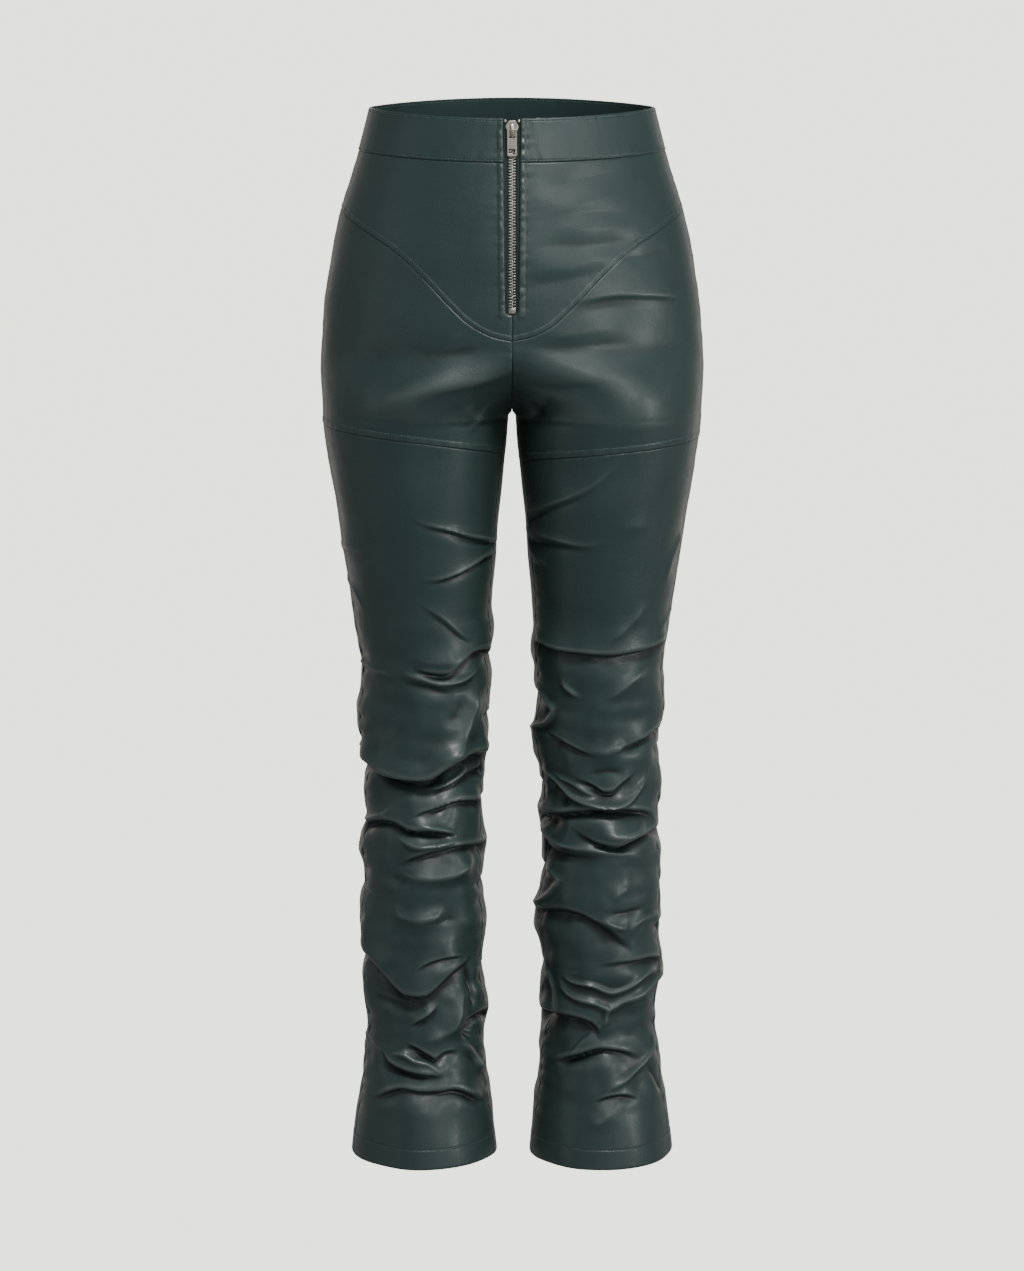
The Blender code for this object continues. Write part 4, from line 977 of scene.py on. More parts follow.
# Rings along one stitch: place along its half length, share of the radius, and height
STITCH_RINGS = ((-1.0, 0.0, -0.42), (-0.82, 0.8, -0.2), (-0.3, 1.0, 0.04), (0.3, 1.0, 0.04),
                (0.82, 0.8, -0.2), (1.0, 0.0, -0.42))


def trace(points, normals, distance, offset):
    """Line on a panel at an offset from the edge its rows start from."""
    after = np.argmax(distance > offset, axis=0)
    before = np.maximum(after - 1, 0)
    column = np.arange(distance.shape[1])
    gap = distance[after, column] - distance[before, column]
    part = ((offset - distance[before, column]) / np.where(gap == 0, 1.0, gap))[:, None]
    line = points[before, column] + part * (points[after, column] - points[before, column])
    return line, normals[before, column]


def point_along(line, length, at):
    """Point, or normal, at a length along a line."""
    return np.array([np.interp(at, length, line[:, axis]) for axis in range(3)])


def stitch_run(name, runs):
    """Lockstitches along one or more lines: short rounded threads that dive at both ends."""
    points, faces = [], []
    for line, normals in runs:
        length = np.concatenate([[0.0], np.cumsum(np.linalg.norm(np.diff(line, axis=0), axis=1))])
        count = int(length[-1] // STITCH_PITCH)
        spare = (length[-1] - count * STITCH_PITCH) / 2.0
        for k in range(count):
            at = spare + (k + 0.5) * STITCH_PITCH
            place = point_along(line, length, at)
            ahead = point_along(line, length, at + 0.6) - point_along(line, length, at - 0.6)
            along = ahead / np.linalg.norm(ahead)
            up = point_along(normals, length, at)
            up = up / np.linalg.norm(up)
            across = np.cross(along, up)
            start = len(points)
            for step, size, sink in STITCH_RINGS:
                centre = place + along * step * STITCH_LENGTH / 2.0 + up * sink
                corners = THREAD_SIDES if size else 1
                for m in range(corners):
                    turn = 2.0 * math.pi * m / THREAD_SIDES
                    points.append(centre + THREAD_RADIUS * size
                                  * (across * math.cos(turn) + up * math.sin(turn)))
            for m in range(THREAD_SIDES):
                n = (m + 1) % THREAD_SIDES
                faces.append((start, start + 1 + m, start + 1 + n))
                for ring in range(3):
                    low = start + 1 + ring * THREAD_SIDES
                    high = low + THREAD_SIDES
                    faces.append((low + m, high + m, high + n, low + n))
                last = start + 1 + 3 * THREAD_SIDES
                faces.append((last + m, last + THREAD_SIDES, last + n))
    mesh = bpy.data.meshes.new(name)
    mesh.from_pydata((np.array(points) * MM).tolist(), [], faces)
    mesh.materials.append(thread)
    mesh.shade_smooth()
    made = bpy.data.objects.new(name, mesh)
    bpy.context.scene.collection.objects.link(made)
    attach(made, "root")
    return made


def back_drops(side, rows, share):
    """Drops of the back panel's points, whose rows meet those of the front at both seams."""
    seam = THIGH_SEAM[side]
    under_band = BAND_HEIGHT - SIDE_RISE
    to_yoke = YOKE_SIDE_DROP - BAND_HEIGHT + SIDE_RISE
    outer = ([under_band, under_band + to_yoke / 3.0, under_band + to_yoke / 1.5]
             + [YOKE_SIDE_DROP + (seam.outer_drop - YOKE_SIDE_DROP) * row.side for row in RISE_ROWS]
             + [seam.outer_drop, HEM_DROP])
    inner = list(SEAT_DROPS) + [row.back_drop for row in RISE_ROWS] + [seam.inner_drop, HEM_DROP]
    way = np.concatenate([[0.0], np.cumsum((np.diff(outer) + np.diff(inner)) / 2.0)])
    at = rows * way[-1]
    outer_rows = np.interp(at, way, outer)[:, None]
    inner_rows = np.interp(at, way, inner)[:, None]
    drop = outer_rows + (inner_rows - outer_rows) * share
    return drop + swag(drop, share)


hem_lines = {side: [] for _, side in SIDES}
BACK_LENGTH = 925.0
BACK_WIDTH = 230.0
back_rows = spread(BACK_LENGTH, 2.2, [EDGE, (BACK_LENGTH - HEM_TURN, 1.6, 0.6),
                                      (BACK_LENGTH, 2.0, 0.5)])
back_columns = spread(BACK_WIDTH, 2.0, [EDGE, (BACK_WIDTH, 2.2, 0.5)])[None, :]
for label, side in SIDES:
    drop = back_drops(side, back_rows, back_columns)
    top_deg = side_seam(drop[:1]) + (-90.0 - side_seam(drop[:1])) * back_columns
    top_shift = waist_edge(top_deg) + BAND_HEIGHT + SEAM_HALF - drop[:1]
    drop = drop + top_shift * np.clip(1.0 - back_rows[:, None] * BACK_LENGTH / 60.0, 0.0, 1.0)
    first = side_seam(drop) - np.degrees(SEAM_HALF / 90.0)
    last = middle_edge(drop, False, SEAM_HALF)
    cut = lay_out(cloth_face(side, first + (last - first) * back_columns, drop), 1)
    relief = leg_relief(cut, 60 + side) + turned_edge(cut.top)
    back = sew_panel("back_leg_" + label, cut, relief, hem_thickness(cut), [leather, backing], side)
    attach(back, "root")
    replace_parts(back, "back_" + label)
    line, normals = trace(cut.face[::-1], cut.normal[::-1], cut.bottom[::-1], HEM_TURN)
    hem_lines[side].append((line, normals))

# ---- Front lower legs ---------------------------------------------------------------------
# Two panels from the thigh seam to the hem, cut from the same cloth and gathered the same way.
# Their hems are turned up inside and stitched once round.

LEG_LENGTH = 650.0
LEG_WIDTH = 200.0
leg_rows = spread(LEG_LENGTH, 1.2, [EDGE, (LEG_LENGTH - HEM_TURN, 1.6, 0.6),
                                    (LEG_LENGTH, 2.0, 0.5)])[:, None]
leg_columns = spread(LEG_WIDTH, 1.5, [EDGE, (LEG_WIDTH, 2.2, 0.5)])[None, :]


def thigh_seam(side, share):
    """Drop of the seam across the thigh, by share of the way from the side to the inseam."""
    row = THIGH_SEAM[side]
    return row.outer_drop + (row.inner_drop - row.outer_drop) * share ** row.bend


def front_degrees(drop, share, edge):
    """Degrees of a front panel's points from its side seam to its inner edge."""
    first = side_seam(drop) + np.degrees(SEAM_HALF / 90.0)
    return first + (middle_edge(drop, True, edge) - first) * share


for label, side in SIDES:
    top = thigh_seam(side, leg_columns) + SEAM_HALF
    drop = top + (HEM_DROP - top) * leg_rows
    drop = drop + swag(drop, leg_columns)
    cut = lay_out(cloth_face(side, front_degrees(drop, leg_columns, SEAM_HALF), drop), -1)
    relief = leg_relief(cut, 70 + side) + turned_edge(cut.top)
    relief = relief + puckers(cut.top, cut.side, 0.1, 5.0, 80 + side)
    leg = sew_panel("lower_leg_" + label, cut, relief, hem_thickness(cut), [leather, backing], side)
    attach(leg, "root")
    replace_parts(leg, "front_leg_" + label)
    line, normals = trace(cut.face[::-1], cut.normal[::-1], cut.bottom[::-1], HEM_TURN)
    hem_lines[side].append((line, normals))
    stitch_run("hem_stitches_" + label, hem_lines[side])

# ---- Upper front legs ---------------------------------------------------------------------
# Each runs from the V seam over the thigh and round the crotch curve to the thigh seam. The
# allowance of the thigh seam is pressed up behind it and topstitched 6 mm above the seam.

SeamPoint = namedtuple("SeamPoint", "deg drop")
YOKE_SEAM = (
    SeamPoint(3, 86), SeamPoint(20, 94), SeamPoint(35, 105), SeamPoint(50, 121),
    SeamPoint(63, 147), SeamPoint(71, 168), SeamPoint(78, 185), SeamPoint(84, 194),
    SeamPoint(90, 198),
)
THIGH_STITCH = 6.0


def yoke_seam(deg):
    """Drop of the V seam."""
    return curve_through([p.deg for p in YOKE_SEAM], [p.drop for p in YOKE_SEAM], deg)


def felled(distance, width, raised=0.42):
    """Allowance pressed under the cloth: a low step up from the seam, and its stitch groove."""
    step = smooth(distance / 0.9) * (1.0 - smooth((distance - width + 0.2) / 1.1))
    return raised * step - STITCH_GROOVE * np.exp(-((distance - width) / 0.55) ** 2)


THIGH_LENGTH = 190.0
thigh_rows = spread(THIGH_LENGTH, 1.6, [EDGE, (THIGH_LENGTH - THIGH_STITCH, 1.6, 0.6),
                                        (THIGH_LENGTH, 2.2, 0.5)])
thigh_columns = leg_columns
for label, side in SIDES:
    rises = np.array([row.front_drop for row in RISE_ROWS] + [THIGH_SEAM[side].inner_drop])
    middle_rows = (rises - rises[0]) / (rises[-1] - rises[0])
    side_rows = np.array([row.side for row in RISE_ROWS] + [1.0])
    way = (middle_rows + side_rows) / 2.0
    middle_level = np.interp(thigh_rows, way, middle_rows)[:, None]
    side_level = np.interp(thigh_rows, way, side_rows)[:, None]
    rough_deg = 3.0 + 87.0 * thigh_columns
    top = yoke_seam(rough_deg) + SEAM_HALF * 1.5
    bottom = thigh_seam(side, thigh_columns) - SEAM_HALF
    drop = top + (bottom - top) * (side_level + (middle_level - side_level) * thigh_columns)
    cut = lay_out(cloth_face(side, front_degrees(drop, thigh_columns, SEAM_HALF), drop), -1)
    relief = (turned_edge(cut.side) + turned_edge(cut.middle) + turned_edge(cut.top)
              + turned_edge(cut.bottom) + felled(cut.bottom, THIGH_STITCH))
    relief = relief + puckers(cut.middle, -cut.face[..., 2], 0.16, 6.0, 90 + side)
    relief = relief + puckers(cut.bottom, cut.side, 0.12, 6.0, 94 + side)
    thigh = sew_panel("upper_leg_" + label, cut, relief, WALL, [leather, backing], side)
    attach(thigh, "root")
    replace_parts(thigh, "thigh_" + label)
    stitch_run("thigh_stitches_" + label,
               [trace(cut.face[::-1], cut.normal[::-1], cut.bottom[::-1], THIGH_STITCH)])

# ---- Hip yokes ----------------------------------------------------------------------------
# Two curved panels between the band and the V seam, one each side of the zip. The V seam's
# allowance is topstitched on them, and their zip edges are folded back and stitched.

ZIP_END = 175.0         # drop of the opening's round end
OPENING_TOP = 7.4       # half its width at the top and at its end
OPENING_END = 5.6
YOKE_STITCH = 4.8
ZIP_STITCH = 5.0
YOKE_MIDDLE_TOP = BAND_HEIGHT + 4.0


def opening_edge(drop):
    """Distance of the front pieces' inner edge from the middle, with the zip's round end."""
    half = OPENING_TOP + (OPENING_END - OPENING_TOP) * drop / ZIP_END
    to_end = np.clip((ZIP_END - drop) / OPENING_END, 0.0, 1.0)
    return SEAM_HALF + (half - SEAM_HALF) * np.sqrt(1.0 - (1.0 - to_end) ** 2)


def from_opening(face):
    """Distance of a front piece's points from the opening's edge, and from its straight side alone."""
    x, drop = np.abs(face[..., 0]), -face[..., 2]
    half = OPENING_TOP + (OPENING_END - OPENING_TOP) * drop / ZIP_END
    below = np.maximum(drop - ZIP_END + OPENING_END, 0.0)
    to_rise = np.where(drop > ZIP_END, x, 99.0)
    return np.clip(np.hypot(x, below) - half, 0.0, to_rise), x - half


YOKE_LENGTH = 155.0
YOKE_WIDTH = 165.0
zip_end_way = (ZIP_END - YOKE_MIDDLE_TOP) / (YOKE_SEAM[-1].drop - YOKE_MIDDLE_TOP) * YOKE_LENGTH
yoke_rows = spread(YOKE_LENGTH, 1.3, [EDGE, (zip_end_way - 2.0, 4.0, 0.45),
                                      (YOKE_LENGTH - 5.0, 3.0, 0.7),
                                      (YOKE_LENGTH, 2.2, 0.5)])[:, None]
yoke_columns = spread(YOKE_WIDTH, 1.3, [EDGE, (YOKE_WIDTH - ZIP_STITCH, 1.6, 0.6),
                                        (YOKE_WIDTH, 2.2, 0.5)])[None, :]
BAR_DROP = 178.5        # the row of stitches across the zip's end
for label, side in SIDES:
    rough_deg = front_degrees(np.full((1, 1), 90.0), yoke_columns, SEAM_HALF)
    top = waist_edge(rough_deg) + BAND_HEIGHT + SEAM_HALF
    bottom = yoke_seam(rough_deg) - SEAM_HALF * 1.5
    drop = top + (bottom - top) * yoke_rows
    straight_edge = OPENING_TOP + (SEAM_HALF - OPENING_TOP) * yoke_rows
    to_curve = middle_edge(drop, True, opening_edge(drop[:, -1:]))
    to_curve = to_curve - middle_edge(drop, True, straight_edge)
    deg = front_degrees(drop, yoke_columns, straight_edge) + to_curve * yoke_columns ** 14
    cut = lay_out(cloth_face(side, deg, drop), -1)
    to_edge, to_line = from_opening(cut.face)
    by_zip = smooth((BAR_DROP - drop) / 3.0)
    relief = (turned_edge(cut.side) + turned_edge(to_edge, 0.7, 0.9) + turned_edge(cut.top)
              + turned_edge(cut.bottom) + felled(cut.bottom, YOKE_STITCH)
              + by_zip * felled(np.maximum(to_line, 0.0), ZIP_STITCH, 0.8))
    relief = relief + puckers(cut.bottom, cut.side, 0.12, 5.0, 100 + side)
    relief = relief + by_zip * puckers(np.abs(to_line), drop, 0.16, 6.0, 104 + side)
    relief = relief + by_zip * crinkle(cut, np.maximum(to_line, 0.0), 130 + side)
    yoke = sew_panel("hip_yoke_" + label, cut, relief, WALL, [leather, backing], side)
    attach(yoke, "root")
    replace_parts(yoke, "yoke_" + label)
    along_v = trace(cut.face[::-1], cut.normal[::-1], cut.bottom[::-1], YOKE_STITCH)
    line, normals = trace(cut.face.transpose(1, 0, 2)[::-1], cut.normal.transpose(1, 0, 2)[::-1],
                          to_line.T[::-1], ZIP_STITCH)
    above_bar = -line[:, 2] < BAR_DROP
    line, normals = line[above_bar], normals[above_bar]
    bar = np.stack([line[-1], line[-1] - np.array([side * 5.0, 0.2, 0.0])])
    across_end = (bar, np.repeat(normals[-1:], 2, axis=0))
    stitch_run("yoke_stitches_" + label, [along_v, (line, normals), across_end])

# ---- Waistband ----------------------------------------------------------------------------
# A straight high band of doubled faux leather in three pieces: two front halves that end at the
# zip, and the back. It is edge-stitched along its top and just above its lower seam.

BAND_TOP_STITCH = 2.6
BAND_LOW_STITCH = 2.0
BAND_GROOVE = 0.28
band_rows = spread(BAND_HEIGHT, 1.1, [EDGE, (BAND_TOP_STITCH, 1.4, 0.5),
                                      (BAND_HEIGHT - BAND_LOW_STITCH, 1.6, 0.5),
                                      (BAND_HEIGHT, 2.0, 0.5)])[:, None]


def band_relief(cut, seed):
    """Doubled cloth: soft rolled top, and grooves where it is edge-stitched."""
    relief = BAND_PROUD + turned_edge(cut.top, 0.7, 1.0) + turned_edge(cut.bottom, 1.0, 0.7)
    relief = relief - BAND_GROOVE * np.exp(-((cut.top - BAND_TOP_STITCH) / 0.5) ** 2)
    relief = relief - BAND_GROOVE * np.exp(-((cut.bottom - BAND_LOW_STITCH) / 0.5) ** 2)
    relief = relief + puckers(cut.top, cut.side, 0.1, 5.0, seed)
    return relief + puckers(cut.bottom, cut.side, 0.12, 6.0, seed + 1)


band_columns = yoke_columns
for label, side in SIDES:
    rough_deg = front_degrees(np.full((1, 1), 20.0), band_columns, opening_edge(20.0))
    drop = waist_edge(rough_deg) + band_rows * (BAND_HEIGHT - SEAM_HALF)
    deg = front_degrees(drop, band_columns, opening_edge(drop[:, -1:]))
    cut = lay_out(cloth_face(side, deg, drop), -1)
    relief = band_relief(cut, 110 + side) + turned_edge(cut.side) + turned_edge(cut.middle, 0.6, 0.7)
    relief = relief + felled(cut.middle, ZIP_STITCH, 0.6)
    relief = relief + puckers(cut.middle, drop, 0.3, 5.0, 114 + side)
    relief = relief + crinkle(cut, cut.middle, 130 + side)
    band = sew_panel("waistband_" + label, cut, relief, WALL, [leather], side)
    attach(band, "root")
    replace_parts(band, "waistband_front_" + label)
    lines = [trace(cut.face, cut.normal, cut.top, BAND_TOP_STITCH),
             trace(cut.face[::-1], cut.normal[::-1], cut.bottom[::-1], BAND_LOW_STITCH),
             trace(cut.face.transpose(1, 0, 2)[::-1], cut.normal.transpose(1, 0, 2)[::-1],
                   cut.middle.T[::-1], ZIP_STITCH)]
    outside = [(line + normals * BAND_PROUD, normals) for line, normals in lines]
    stitch_run("band_stitches_" + label, outside)

# The band's inner layer, seen at the back of the waist, is painted a little paler than the outside:
# painted light that lifts the inside, which lies in shade
# Paler tone ends for the inside of the band, as painted light
BAND_FACING_DEEP = (0.0190, 0.0400, 0.0385, 1.0)
BAND_FACING_LIT = (0.0260, 0.0510, 0.0490, 1.0)
band_facing_painted_light = leather.copy()
band_facing_painted_light.name = "band_facing_painted_light"
facing_tone = band_facing_painted_light.node_tree.nodes[leather_tone.node.name]
facing_tone.inputs[6].default_value = BAND_FACING_DEEP
facing_tone.inputs[7].default_value = BAND_FACING_LIT

back_band_columns = spread(YOKE_WIDTH, 1.4, [EDGE])[None, :]
halves = []
for label, side in SIDES:
    first = side_seam(np.full((1, 1), 20.0)) - np.degrees(SEAM_HALF / 90.0)
    rough_deg = first + (-90.0 - first) * back_band_columns
    drop = waist_edge(rough_deg) + band_rows * (BAND_HEIGHT - SEAM_HALF)
    halves.append(cloth_face(side, np.broadcast_to(rough_deg, drop.shape), drop))
cut = lay_out(np.concatenate([halves[0], halves[1][:, -2::-1]], axis=1), 1)
back_band = sew_panel("waistband_inner_back", cut, band_relief(cut, 120) + turned_edge(cut.side)
                      + turned_edge(cut.middle), WALL, [leather, band_facing_painted_light], 0)
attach(back_band, "root")
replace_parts(back_band, "waistband_back")
lines = [trace(cut.face, cut.normal, cut.top, BAND_TOP_STITCH),
         trace(cut.face[::-1], cut.normal[::-1], cut.bottom[::-1], BAND_LOW_STITCH)]
outside = [(line + normals * BAND_PROUD, normals) for line, normals in lines]
inside = [(line - normals * WALL, -normals) for line, normals in lines]
stitch_run("band_stitches_back", outside + inside)

# ---- Zip tapes ----------------------------------------------------------------------------
# Woven polyester tapes behind the folded edges of the opening, each with a cord along its
# inner edge where the teeth are clamped on.

ZIP_TOP = 7.0
TAPE_INNER = 3.4
TAPE_OUTER = 14.0
TAPE_FACE = WALL + 0.3
TAPE_THICK = 1.0
TAPE_END = 184.0


def zip_frame(drop):
    """Point on the centre front and the directions down and out of it."""
    point = np.array([0.0, -float(section("front", drop)), -drop])
    ahead = np.array([0.0, -float(section("front", drop + 1.0)), -drop - 1.0])
    down = (ahead - point) / np.linalg.norm(ahead - point)
    return point, down, np.array([0.0, down[2], -down[1]])


TAPE_DARK = (0.006, 0.013, 0.013, 1.0)
TAPE_LIT = (0.024, 0.045, 0.042, 1.0)
tape_cloth, tape_tree, tape_shader, tape_place = blank_material("woven_tape")
tape_rib = put(tape_tree, "ShaderNodeTexWave", {"bands_direction": "Z"},
               {"Vector": tape_place, "Scale": 320.0, "Distortion": 0.6, "Detail": 1.0})
tape_cross = put(tape_tree, "ShaderNodeTexWave", {"bands_direction": "X"},
                 {"Vector": tape_place, "Scale": 260.0, "Distortion": 0.6})
tape_weave = reckoned(tape_tree, "MULTIPLY", tape_rib.outputs["Fac"], tape_cross.outputs["Fac"])
finish_shader(tape_shader, {
    "Base Color": blended(tape_tree, tape_weave, TAPE_DARK, TAPE_LIT),
    "Roughness": 0.75,
    "Normal": bumped(tape_tree, tape_weave, 0.8, 0.0003),
})

tape_drops = ZIP_TOP - 3.0 + (TAPE_END - ZIP_TOP + 3.0) * np.linspace(0.0, 1.0, 90)
tape_xs = TAPE_INNER + (TAPE_OUTER - TAPE_INNER) * spread(10.6, 0.8, [(0.0, 2.0, 0.25)])
for label, side in SIDES:
    face = np.zeros((len(tape_drops), len(tape_xs), 3))
    for r, drop in enumerate(tape_drops):
        point, down, out = zip_frame(drop)
        bow = (1.0 - np.sqrt(1.0 - (tape_xs / 140.0) ** 2)) * -point[1]
        face[r] = point + np.stack([side * tape_xs, bow, 0.0 * bow], axis=-1) - out * TAPE_FACE
    cut = lay_out(face, -1)
    cord = 0.45 * np.exp(-((np.abs(face[..., 0]) - TAPE_INNER - 0.55) / 0.4) ** 2)
    tape = sew_panel("zip_tape_cloth_" + label, cut, cord, TAPE_THICK - 0.3, [tape_cloth], side)
    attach(tape, "root")
    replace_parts(tape, "zip_tape_" + label)

# ---- Zip teeth and stops ------------------------------------------------------------------
# Number 5 metal teeth, clamped on the tapes in turn from each side, with crimped stops at the
# top and a box stop over the last teeth.

NICKEL_STAINED = (0.27, 0.245, 0.21, 1.0)
NICKEL_BRIGHT = (0.56, 0.525, 0.46, 1.0)
metal, metal_tree, metal_shader, metal_place = blank_material("old_nickel")
metal_stain = textured(metal_tree, drift, metal_place, "Size", 520.0)
metal_scratch = put(metal_tree, "ShaderNodeTexNoise", None,
                    {"Vector": metal_place, "Scale": 2600.0, "Detail": 3.0}).outputs["Fac"]
finish_shader(metal_shader, {
    "Base Color": blended(metal_tree, metal_stain, NICKEL_STAINED, NICKEL_BRIGHT),
    "Roughness": ranged(metal_tree, metal_stain, {"To Min": 0.42, "To Max": 0.26}),
    "Normal": bumped(metal_tree, metal_scratch, 0.25, 0.00008),
    "Metallic": 1.0,
})

CHAIN_HALF = 3.0
CHAIN_TOP = 11.5
CHAIN_END = 168.7
CHAIN_FACE = 1.1
TOOTH_PITCH = 2.5
BLOCK_FACES = ((0, 1, 3, 2), (4, 6, 7, 5), (0, 4, 5, 1), (2, 3, 7, 6), (0, 2, 6, 4), (1, 5, 7, 3))


def bevelled_blocks(blocks, bevel, segments=2):
    """Points and faces of boxes, given as x, down and out spans, with rounded edges."""
    made = bmesh.new()
    for x_span, down_span, out_span in blocks:
        corners = [made.verts.new((x, low, high))
                   for x in x_span for low in down_span for high in out_span]
        for quad in BLOCK_FACES:
            made.faces.new([corners[k] for k in quad])
    bmesh.ops.recalc_face_normals(made, faces=made.faces)
    bmesh.ops.bevel(made, geom=made.edges[:], offset=bevel, segments=segments, affect="EDGES",
                    profile=0.5)
    bmesh.ops.recalc_face_normals(made, faces=made.faces)
    made.verts.index_update()
    points = np.array([vertex.co for vertex in made.verts])
    faces = [[vertex.index for vertex in face.verts] for face in made.faces]
    made.free()
    return points, faces


def metal_piece(name, body, parts):
    """One metal object from parts, each a zip frame with points in it and their faces."""
    points, faces = [], []
    for (point, down, out), local, local_faces in parts:
        across = np.array([1.0, 0.0, 0.0])
        turned = np.dot(np.cross(across, down), out) < 0.0
        start = sum(len(p) for p in points)
        points.append(point + local[:, :1] * across + local[:, 1:2] * down + local[:, 2:] * out)
        faces += [[start + k for k in (face[::-1] if turned else face)] for face in local_faces]
    mesh = bpy.data.meshes.new(name)
    mesh.from_pydata((np.concatenate(points) * MM).tolist(), [], faces)
    mesh.materials.append(metal)
    mesh.shade_smooth()
    mesh.set_sharp_from_angle(angle=math.radians(50.0))
    made = bpy.data.objects.new(name, mesh)
    bpy.context.scene.collection.objects.link(made)
    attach(made, body)
    return made


teeth = []
tooth_count = int((CHAIN_END - CHAIN_TOP) / TOOTH_PITCH) + 1
for label, side in SIDES:
    clamp = (sorted((side * 0.9, side * CHAIN_HALF)), (-0.58, 0.58), (-2.3, -0.05))
    hook = (sorted((side * -0.7, side * 1.3)), (-0.45, 0.45), (-2.0, -0.25))
    tooth = bevelled_blocks([clamp, hook], 0.14)
    stagger = 0.25 * TOOTH_PITCH * (1 + side)
    for k in range(tooth_count):
        at = CHAIN_TOP + 0.7 + k * TOOTH_PITCH + stagger
        point, down, out = zip_frame(at)
        teeth.append(((point - out * CHAIN_FACE, down, out), *tooth))
chain = metal_piece("zip_teeth", "root", teeth)
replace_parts(chain, "zip_chain")

STOP_INNER = 5.0
STOP_OUTER = 7.0
STOP_HEIGHT = 2.4
for label, side in SIDES:
    span = sorted((side * STOP_INNER, side * STOP_OUTER))
    stop = bevelled_blocks([(span, (0.0, STOP_HEIGHT), (-1.5, 0.3))], 0.35, 3)
    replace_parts(metal_piece("top_stop_" + label, "root", [(zip_frame(ZIP_TOP - 1.6), *stop)]),
                "zip_top_stop_" + label)
box_stop = bevelled_blocks([((-CHAIN_HALF, CHAIN_HALF), (0.0, 4.6), (-3.7, -0.8))], 0.45, 3)
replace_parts(metal_piece("box_stop", "root", [(zip_frame(CHAIN_END + 0.3), *box_stop)]),
            "zip_bottom_stop")

# ---- Slider -------------------------------------------------------------------------------
# Cast metal: a front plate with round shoulders, a back plate, the neck between them that parts
# the teeth, and the bridge that holds the pull.

SLIDER_DROP = 6.0
CrownPoint = namedtuple("CrownPoint", "half down")
CROWN = (
    CrownPoint(2.2, 0.0), CrownPoint(3.2, 0.5), CrownPoint(4.2, 2.1), CrownPoint(5.3, 4.0),
    CrownPoint(5.7, 5.4), CrownPoint(5.5, 6.6), CrownPoint(4.8, 7.9), CrownPoint(4.2, 9.6),
    CrownPoint(4.1, 12.8), CrownPoint(3.6, 13.8), CrownPoint(2.8, 14.2),
)
SLIDER_TOP_OUT = 1.0
SLIDER_PLATE = 1.8
SLIDER_BACK_OUT = -3.8
SLIDER_BACK_PLATE = 1.2
BRIDGE_HALF = 1.5
BRIDGE_TOP = 2.6
BRIDGE_END = 13.4
BRIDGE_BAR = 1.2
BRIDGE_ROOM = 1.9


def plate(outlines, low, high, bevel, side_view=False):
    """Plate cut to closed outlines (x, down), the later ones as holes, with rounded edges."""
    curve = bpy.data.curves.new("plate", "CURVE")
    curve.dimensions = "2D"
    curve.fill_mode = "BOTH"
    for outline in outlines:
        spline = curve.splines.new("POLY")
        spline.points.add(len(outline) - 1)
        for point, (a, b) in zip(spline.points, outline):
            point.co = (a, b, 0.0, 1.0)
        spline.use_cyclic_u = True
    curve.extrude = (high - low) / 2.0 - bevel
    curve.bevel_depth = bevel
    curve.bevel_resolution = 2
    curve.offset = -bevel
    holder = bpy.data.objects.new("plate", curve)
    bpy.context.scene.collection.objects.link(holder)
    mesh = bpy.data.meshes.new_from_object(holder.evaluated_get(bpy.context.evaluated_depsgraph_get()))
    points = np.array([vertex.co for vertex in mesh.vertices])
    points[:, 2] += (high + low) / 2.0
    faces = [list(face.vertices) for face in mesh.polygons]
    bpy.data.objects.remove(holder)
    bpy.data.curves.remove(curve)
    bpy.data.meshes.remove(mesh)
    if side_view:
        points = points[:, [2, 0, 1]]
    return points, faces


def rounded_box(half_width, top, bottom, corner, steps=5):
    """Outline of a plate with round corners."""
    outline = []
    centres = ((half_width - corner, bottom - corner, 0), (corner - half_width, bottom - corner, 90),
               (corner - half_width, top + corner, 180), (half_width - corner, top + corner, 270))
    for x, low, start in centres:
        for k in range(steps + 1):
            angle = math.radians(start + 90.0 * k / steps)
            outline.append((x + corner * math.cos(angle), low + corner * math.sin(angle)))
    return outline


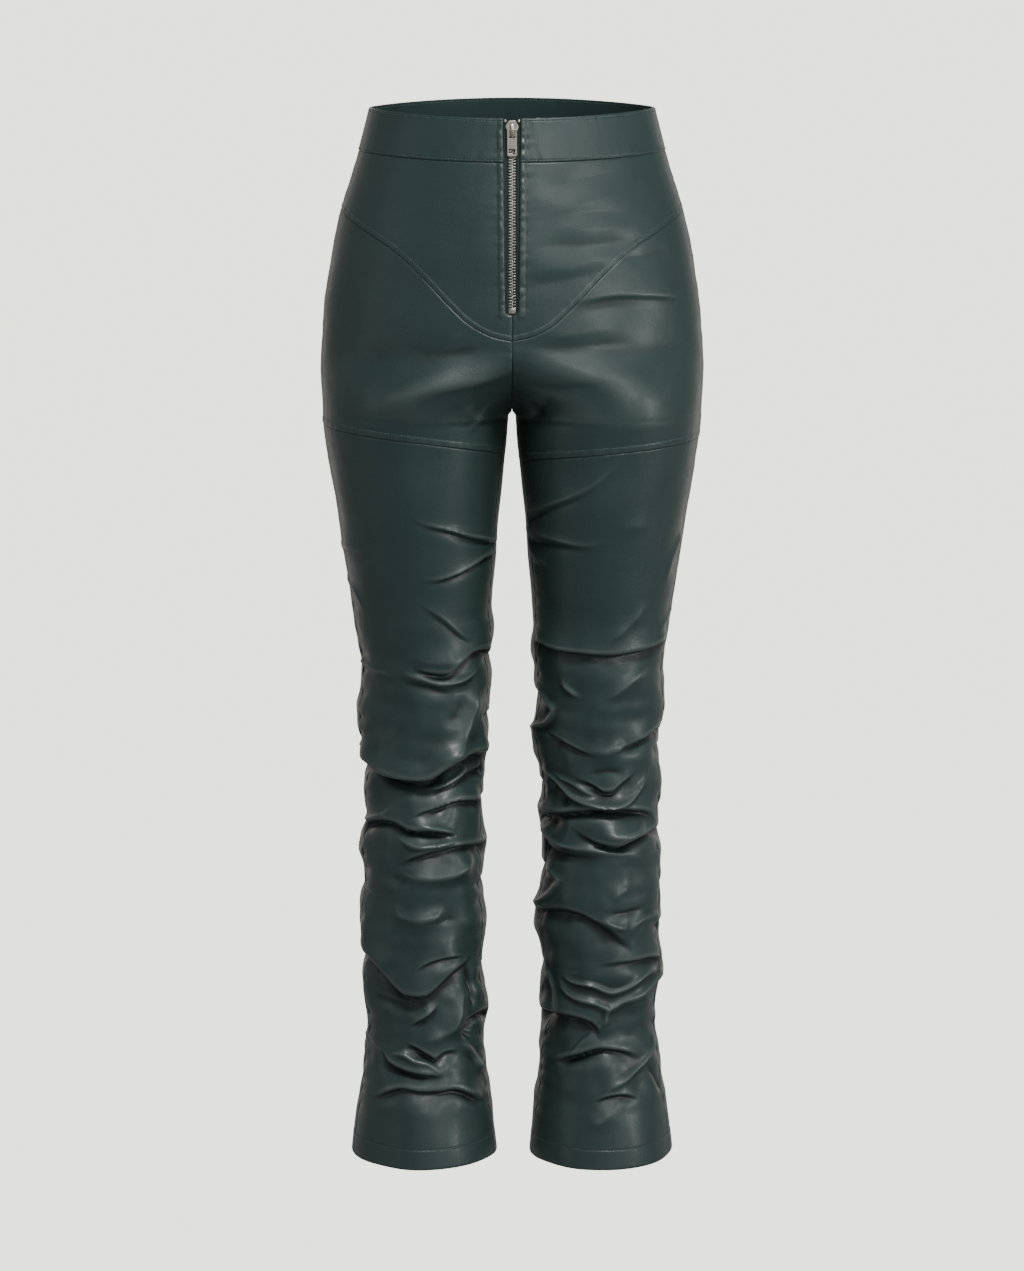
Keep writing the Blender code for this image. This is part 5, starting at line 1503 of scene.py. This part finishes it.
crown = [(p.half, p.down) for p in CROWN] + [(-p.half, p.down) for p in reversed(CROWN)]
slider_frame = zip_frame(SLIDER_DROP)
bridge_out = SLIDER_TOP_OUT + BRIDGE_ROOM + BRIDGE_BAR
bridge_in = bridge_out - BRIDGE_BAR
arch = ((BRIDGE_TOP, 0.6), (BRIDGE_TOP, bridge_out - 1.3), (BRIDGE_TOP + 0.5, bridge_out - 0.4),
        (BRIDGE_TOP + 1.4, bridge_out), (BRIDGE_END - 1.4, bridge_out),
        (BRIDGE_END - 0.4, bridge_out - 0.5), (BRIDGE_END, bridge_out - 1.4), (BRIDGE_END, 0.6),
        (BRIDGE_END - BRIDGE_BAR, 0.6), (BRIDGE_END - BRIDGE_BAR, bridge_in),
        (BRIDGE_TOP + BRIDGE_BAR, bridge_in), (BRIDGE_TOP + BRIDGE_BAR, 0.6))
slider_parts = [
    plate([crown], SLIDER_TOP_OUT - SLIDER_PLATE, SLIDER_TOP_OUT, 0.4),
    plate([rounded_box(3.9, 0.0, 13.6, 1.4)], SLIDER_BACK_OUT - SLIDER_BACK_PLATE,
          SLIDER_BACK_OUT, 0.3),
    bevelled_blocks([((-1.6, 1.6), (0.6, 4.9), (SLIDER_BACK_OUT - 0.3, SLIDER_TOP_OUT - 0.3))], 0.3),
    plate([arch], -BRIDGE_HALF, BRIDGE_HALF, 0.35, side_view=True),
]
slider = metal_piece("slider", "root", [(slider_frame, *part) for part in slider_parts])
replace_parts(slider, "zip_slider")

# ---- Pull tab -----------------------------------------------------------------------------
# Flat stamped pull: a top bar that turns under the bridge, a long slot round it, a plain middle
# and a square window near its round end.

TAB_HALF = 4.25
TAB_THICK = 1.2
TAB_AXIS_DOWN = 8.3
TAB_AXIS_OUT = 2.0
TAB_LENGTH = 23.3
TAB_SLOT_HALF = 2.7
TAB_SLOT_END = 7.6
TAB_HOLE_TOP = 16.9
TAB_HOLE_END = 21.1

half_bar = TAB_THICK / 2.0
point, down, out = slider_frame
tab_frame = (point + down * TAB_AXIS_DOWN + out * TAB_AXIS_OUT, down, out)
tab_shape = plate([rounded_box(TAB_HALF, -half_bar, TAB_LENGTH, 1.3),
                   rounded_box(TAB_SLOT_HALF, half_bar, TAB_SLOT_END, 0.5)[::-1],
                   rounded_box(TAB_SLOT_HALF, TAB_HOLE_TOP, TAB_HOLE_END, 0.4)[::-1]],
                  -half_bar, half_bar, 0.22)
tab = metal_piece("pull", "pull_tab", [(tab_frame, *tab_shape)])
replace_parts(tab, "zip_pull_tab")
